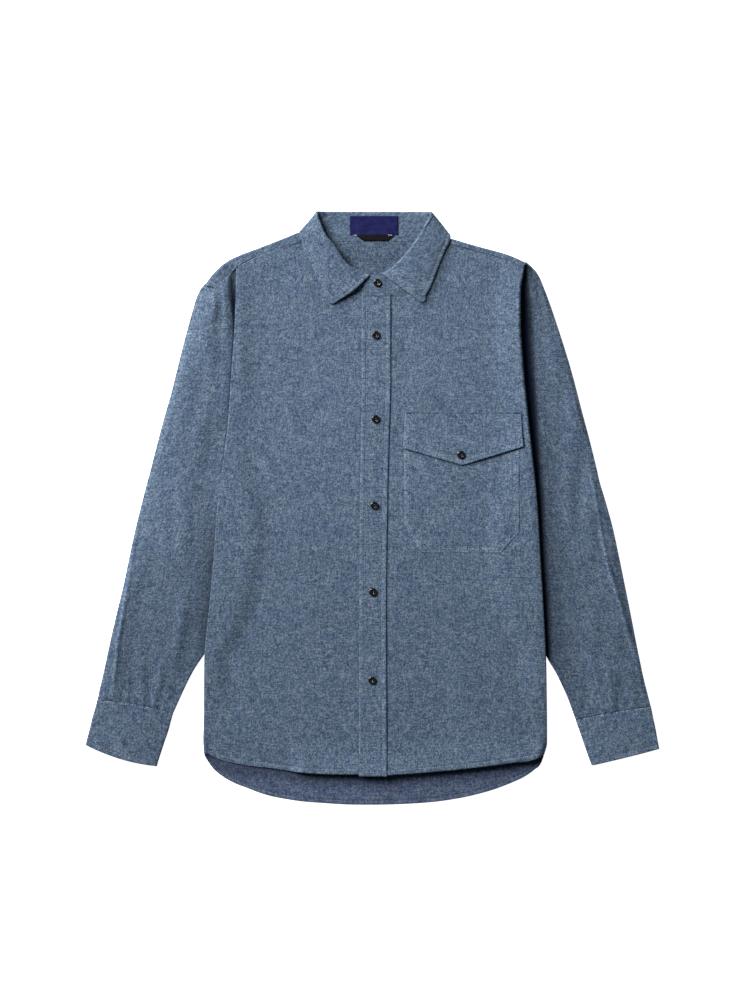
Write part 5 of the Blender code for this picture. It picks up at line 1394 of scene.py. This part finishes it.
right_top = np.concatenate([yoke_seam(LEFT_SHOULDER, 2), neckline(8, 0)[:-1]])
right_top[0] = LEFT_EDGE["x"][-1], np.interp(LEFT_EDGE["x"][-1], right_top[:, 0],
                                             right_top[:, 1])
right_top[:6, 1] += SEAM_LAP
left_top = np.concatenate([yoke_seam(RIGHT_SHOULDER), neckline(16, 22)])
left_top[:5, 1] += SEAM_LAP
left_top[:, 1] += NECK_REACH["up"] * ease((NECK_REACH["start"] - left_top[:, 0])
                                          / NECK_REACH["width"])
front("front_right_cloth", LEFT_EDGE, FRONT_HEM_RIGHT_SIDE, right_top,
      lambda y: read(PLACKET, "right", y) - UNDERLAP - 2 * SEAM, right_top[:6], 21)
front("front_left_cloth", RIGHT_EDGE, FRONT_HEM_LEFT_SIDE, left_top,
      lambda y: read(PLACKET, "right", y) - UNDERLAP * (1 - ease((y - 284) / 8)),
      left_top[:5], 24)
for make in (back, yoke, collar_leaf, collar_stand, neck_label, label_tab):
    make()
sleeve("sleeve_right_cloth", SLEEVE_LEFT_SIDE, -1, LEFT_HEAD_DROP, SEAM_BOW["left"],
       LEFT_SLEEVE_FOLDS, 91, left_hollow)
sleeve("sleeve_left_cloth", SLEEVE_RIGHT_SIDE, 1, None, SEAM_BOW["right"],
       RIGHT_SLEEVE_FOLDS, 95, right_hollow)
cuff("cuff_right_cloth", CUFF_LEFT_SIDE, -1, (SEAM_BOW["left"], OPEN_END_BOW["left"]), 101,
     0.5)
cuff("cuff_left_cloth", CUFF_RIGHT_SIDE, 1, (SEAM_BOW["right"], OPEN_END_BOW["right"]), 105,
     0.15)
for make in (placket, pocket, flap):
    make()

# Each cloth piece: its solid, slot, width and length of its cut and its area in metres,
# and what it rests on.
CLOTH = [
    ("front_right_cloth", "front_right", "chambray", (0.252, 0.735), 0.160, "back_cloth"),
    ("front_left_cloth", "front_left", "chambray", (0.252, 0.735), 0.150, "back_cloth"),
    ("back_cloth", "back", "chambray", (0.466, 0.661), 0.280, None),
    ("yoke_cloth", "yoke", "chambray", (0.440, 0.170), 0.060, None),
    ("collar_leaf_cloth", "collar_leaf", "chambray", (0.400, 0.062), 0.021,
     "front_right_cloth"),
    ("collar_stand_cloth", "collar_stand", "chambray", (0.500, 0.045), 0.019, "yoke_cloth"),
    ("neck_label", "label", "label_blue", (0.0655, 0.026), None, "collar_stand_cloth"),
    ("label_tab_tape", "label_tab", "tape_black", (0.052, 0.0142), None,
     "collar_stand_cloth"),
    ("sleeve_right_cloth", "sleeve_right", "chambray", (0.230, 0.640), 0.120, "back_cloth"),
    ("sleeve_left_cloth", "sleeve_left", "chambray", (0.230, 0.640), 0.120, "back_cloth"),
    ("cuff_right_cloth", "cuff_right", "chambray", (0.210, 0.075), 0.0145, None),
    ("cuff_left_cloth", "cuff_left", "chambray", (0.210, 0.070), 0.0130, None),
    ("placket_cloth", "placket", "chambray", (0.0375, 0.656), None, "front_right_cloth"),
    ("pocket_cloth", "pocket", "chambray", (0.157, 0.185), 0.028, "front_left_cloth"),
    ("pocket_flap_cloth", "pocket_flap", "chambray", (0.164, 0.072), 0.0096,
     "pocket_cloth")]
for name, solid, slot, flat, area, rests in CLOTH:
    piece = bpy.data.objects[name]
    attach(piece, "root")
    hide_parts(solid)

# Buttons, each on what it is sewn to.
BUTTON_BED = {"placket": ("placket_cloth", TURNED), "flap": ("pocket_flap_cloth", TURNED),
              "stand": ("collar_stand_cloth", 1.1)}
for name, x, y, on in BUTTONS:
    bed, wall = BUTTON_BED[on]
    floor = on_surface(bed, np.array([[x, y]]), wall)[0][0, 2] + 0.1
    piece = turned_button(name + "_turned", x, y, floor)
    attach(piece, "root")
    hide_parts(name)

# ---------------------------------------------------------------- stitching

runs = []
for name in ("front_right_cloth", "front_left_cloth"):
    line = inset_line(name, 6.0, 0)[12:]
    line = line[(line[:, 0] < -19.5) | (line[:, 0] > 18.5)]
    runs.append(line_on(name, line, TURNED))
for line in (inset_line("placket_cloth", 6.2, 1), inset_line("placket_cloth", 6.2, 1, True),
             inset_line("placket_cloth", 5.0, 0)[3:-3]):
    runs.append(line_on("placket_cloth", line, TURNED, 3.4))
edge_line = inset_line("collar_leaf_cloth", 4.6, 1, True)
for line in (edge_line[4:84], edge_line[176:-4],
             *(inset_line("collar_leaf_cloth", 4.6, 0, last)[10:-2] for last in (False, True))):
    runs.append(line_on("collar_leaf_cloth", line, STIFF, 3.2))
for line in (((-226.6, 309.2), (-213.4, 304.8)), ((-228, 306.6), (-214.8, 302.2))):
    runs.append(line_on("yoke_cloth", line, THIN, 2.8, 2.0))
for name in ("cuff_right_cloth", "cuff_left_cloth"):
    for inset, last in ((2.2, False), (5.5, True)):
        line = inset_line(name, inset, 0, last)[FOLD_STEPS:FOLD_STEPS + 94]
        runs.append(line_on(name, line, TURNED, 3.4))
pocket_line = [(42.5, 88), *zip(POCKET_FOOT["x"], POCKET_FOOT["y"]), (199, 88)]
flap_line = [(44, FLAP_TOP), *zip(FLAP_POINT["x"], FLAP_POINT["y"]), (201, FLAP_TOP)]
for inset in (1.8, 8.0):
    runs.append(line_on("pocket_cloth", inside_outline(pocket_line, inset), THIN))
    runs.append(line_on("pocket_flap_cloth", inside_outline(flap_line, inset), TURNED))
sew("topstitching", thread_blue, runs)
sew("tab_stitching", thread_white,
    [line_on("label_tab_tape", [(x, 374.6), (x + 5.5, 374.3)], 0.3, 1.4, 1.5, 0.35)
     for x in (-28.5, 20.0)])
bars = [[(40.6 + FLAP_SIDE_LEAN, FLAP_TOP - 0.2), (52, FLAP_TOP - 0.2)],
        [(193, FLAP_TOP - 0.2), (204 - FLAP_SIDE_LEAN, FLAP_TOP - 0.2)],
        [(201.5, FLAP_TOP - 1), (201.8, FLAP_TOP - 9)]]
sew("flap_bartacks", thread_dark,
    [line_on("pocket_flap_cloth", bar, TURNED, 1.2, 1.6, 0.8) for bar in bars])
sew("tail_stitching", thread_dark,
    [line_on("back_cloth", inset_line("back_cloth", 5.5, 0)[3:-3], THIN, 3.6)])

# ---------------------------------------------------------------- floor, light, camera

paper = put("paper", np.array([(-6, -6, 0), (6, -6, 0), (6, 6, 0), (-6, 6, 0)]) / MM,
            np.array([[0, 1, 2, 3]]), seamless_paper())
paper.location = (0, 0, float(SOLID_BOX[0][2]) - 0.0002)

# Large soft light from the upper left, facing the middle of the shirt.
lamp = bpy.data.lights.new("key", "AREA")
lamp.shape, lamp.size, lamp.energy, lamp.color = "SQUARE", 3.4, 1165.0, (1.0, 0.985, 0.96)
key = bpy.data.objects.new("key", lamp)
key.location = KEY_AT
aim = -np.array(KEY_AT) / np.linalg.norm(KEY_AT)
key.rotation_euler = (float(np.arccos(-aim[2])), 0.0,
                      float(np.arctan2(aim[1], aim[0]) - np.pi / 2))
world = bpy.data.worlds.new("studio")
world.use_nodes = True
feed(world.node_tree.nodes["Background"], {"Color": (0.86, 0.92, 1.0, 1.0),
                                           "Strength": 0.11})
bpy.context.scene.world = world
bpy.context.scene.view_settings.view_transform = "Standard"

lens = bpy.data.cameras.new("view")
lens.lens, lens.sensor_width = 100.0, 36.0
view = bpy.data.objects.new("view", lens)
view.location = (*VIEW_AT, VIEW_HEIGHT)
for made in (key, view):
    bpy.context.scene.collection.objects.link(made)
bpy.context.scene.camera = view
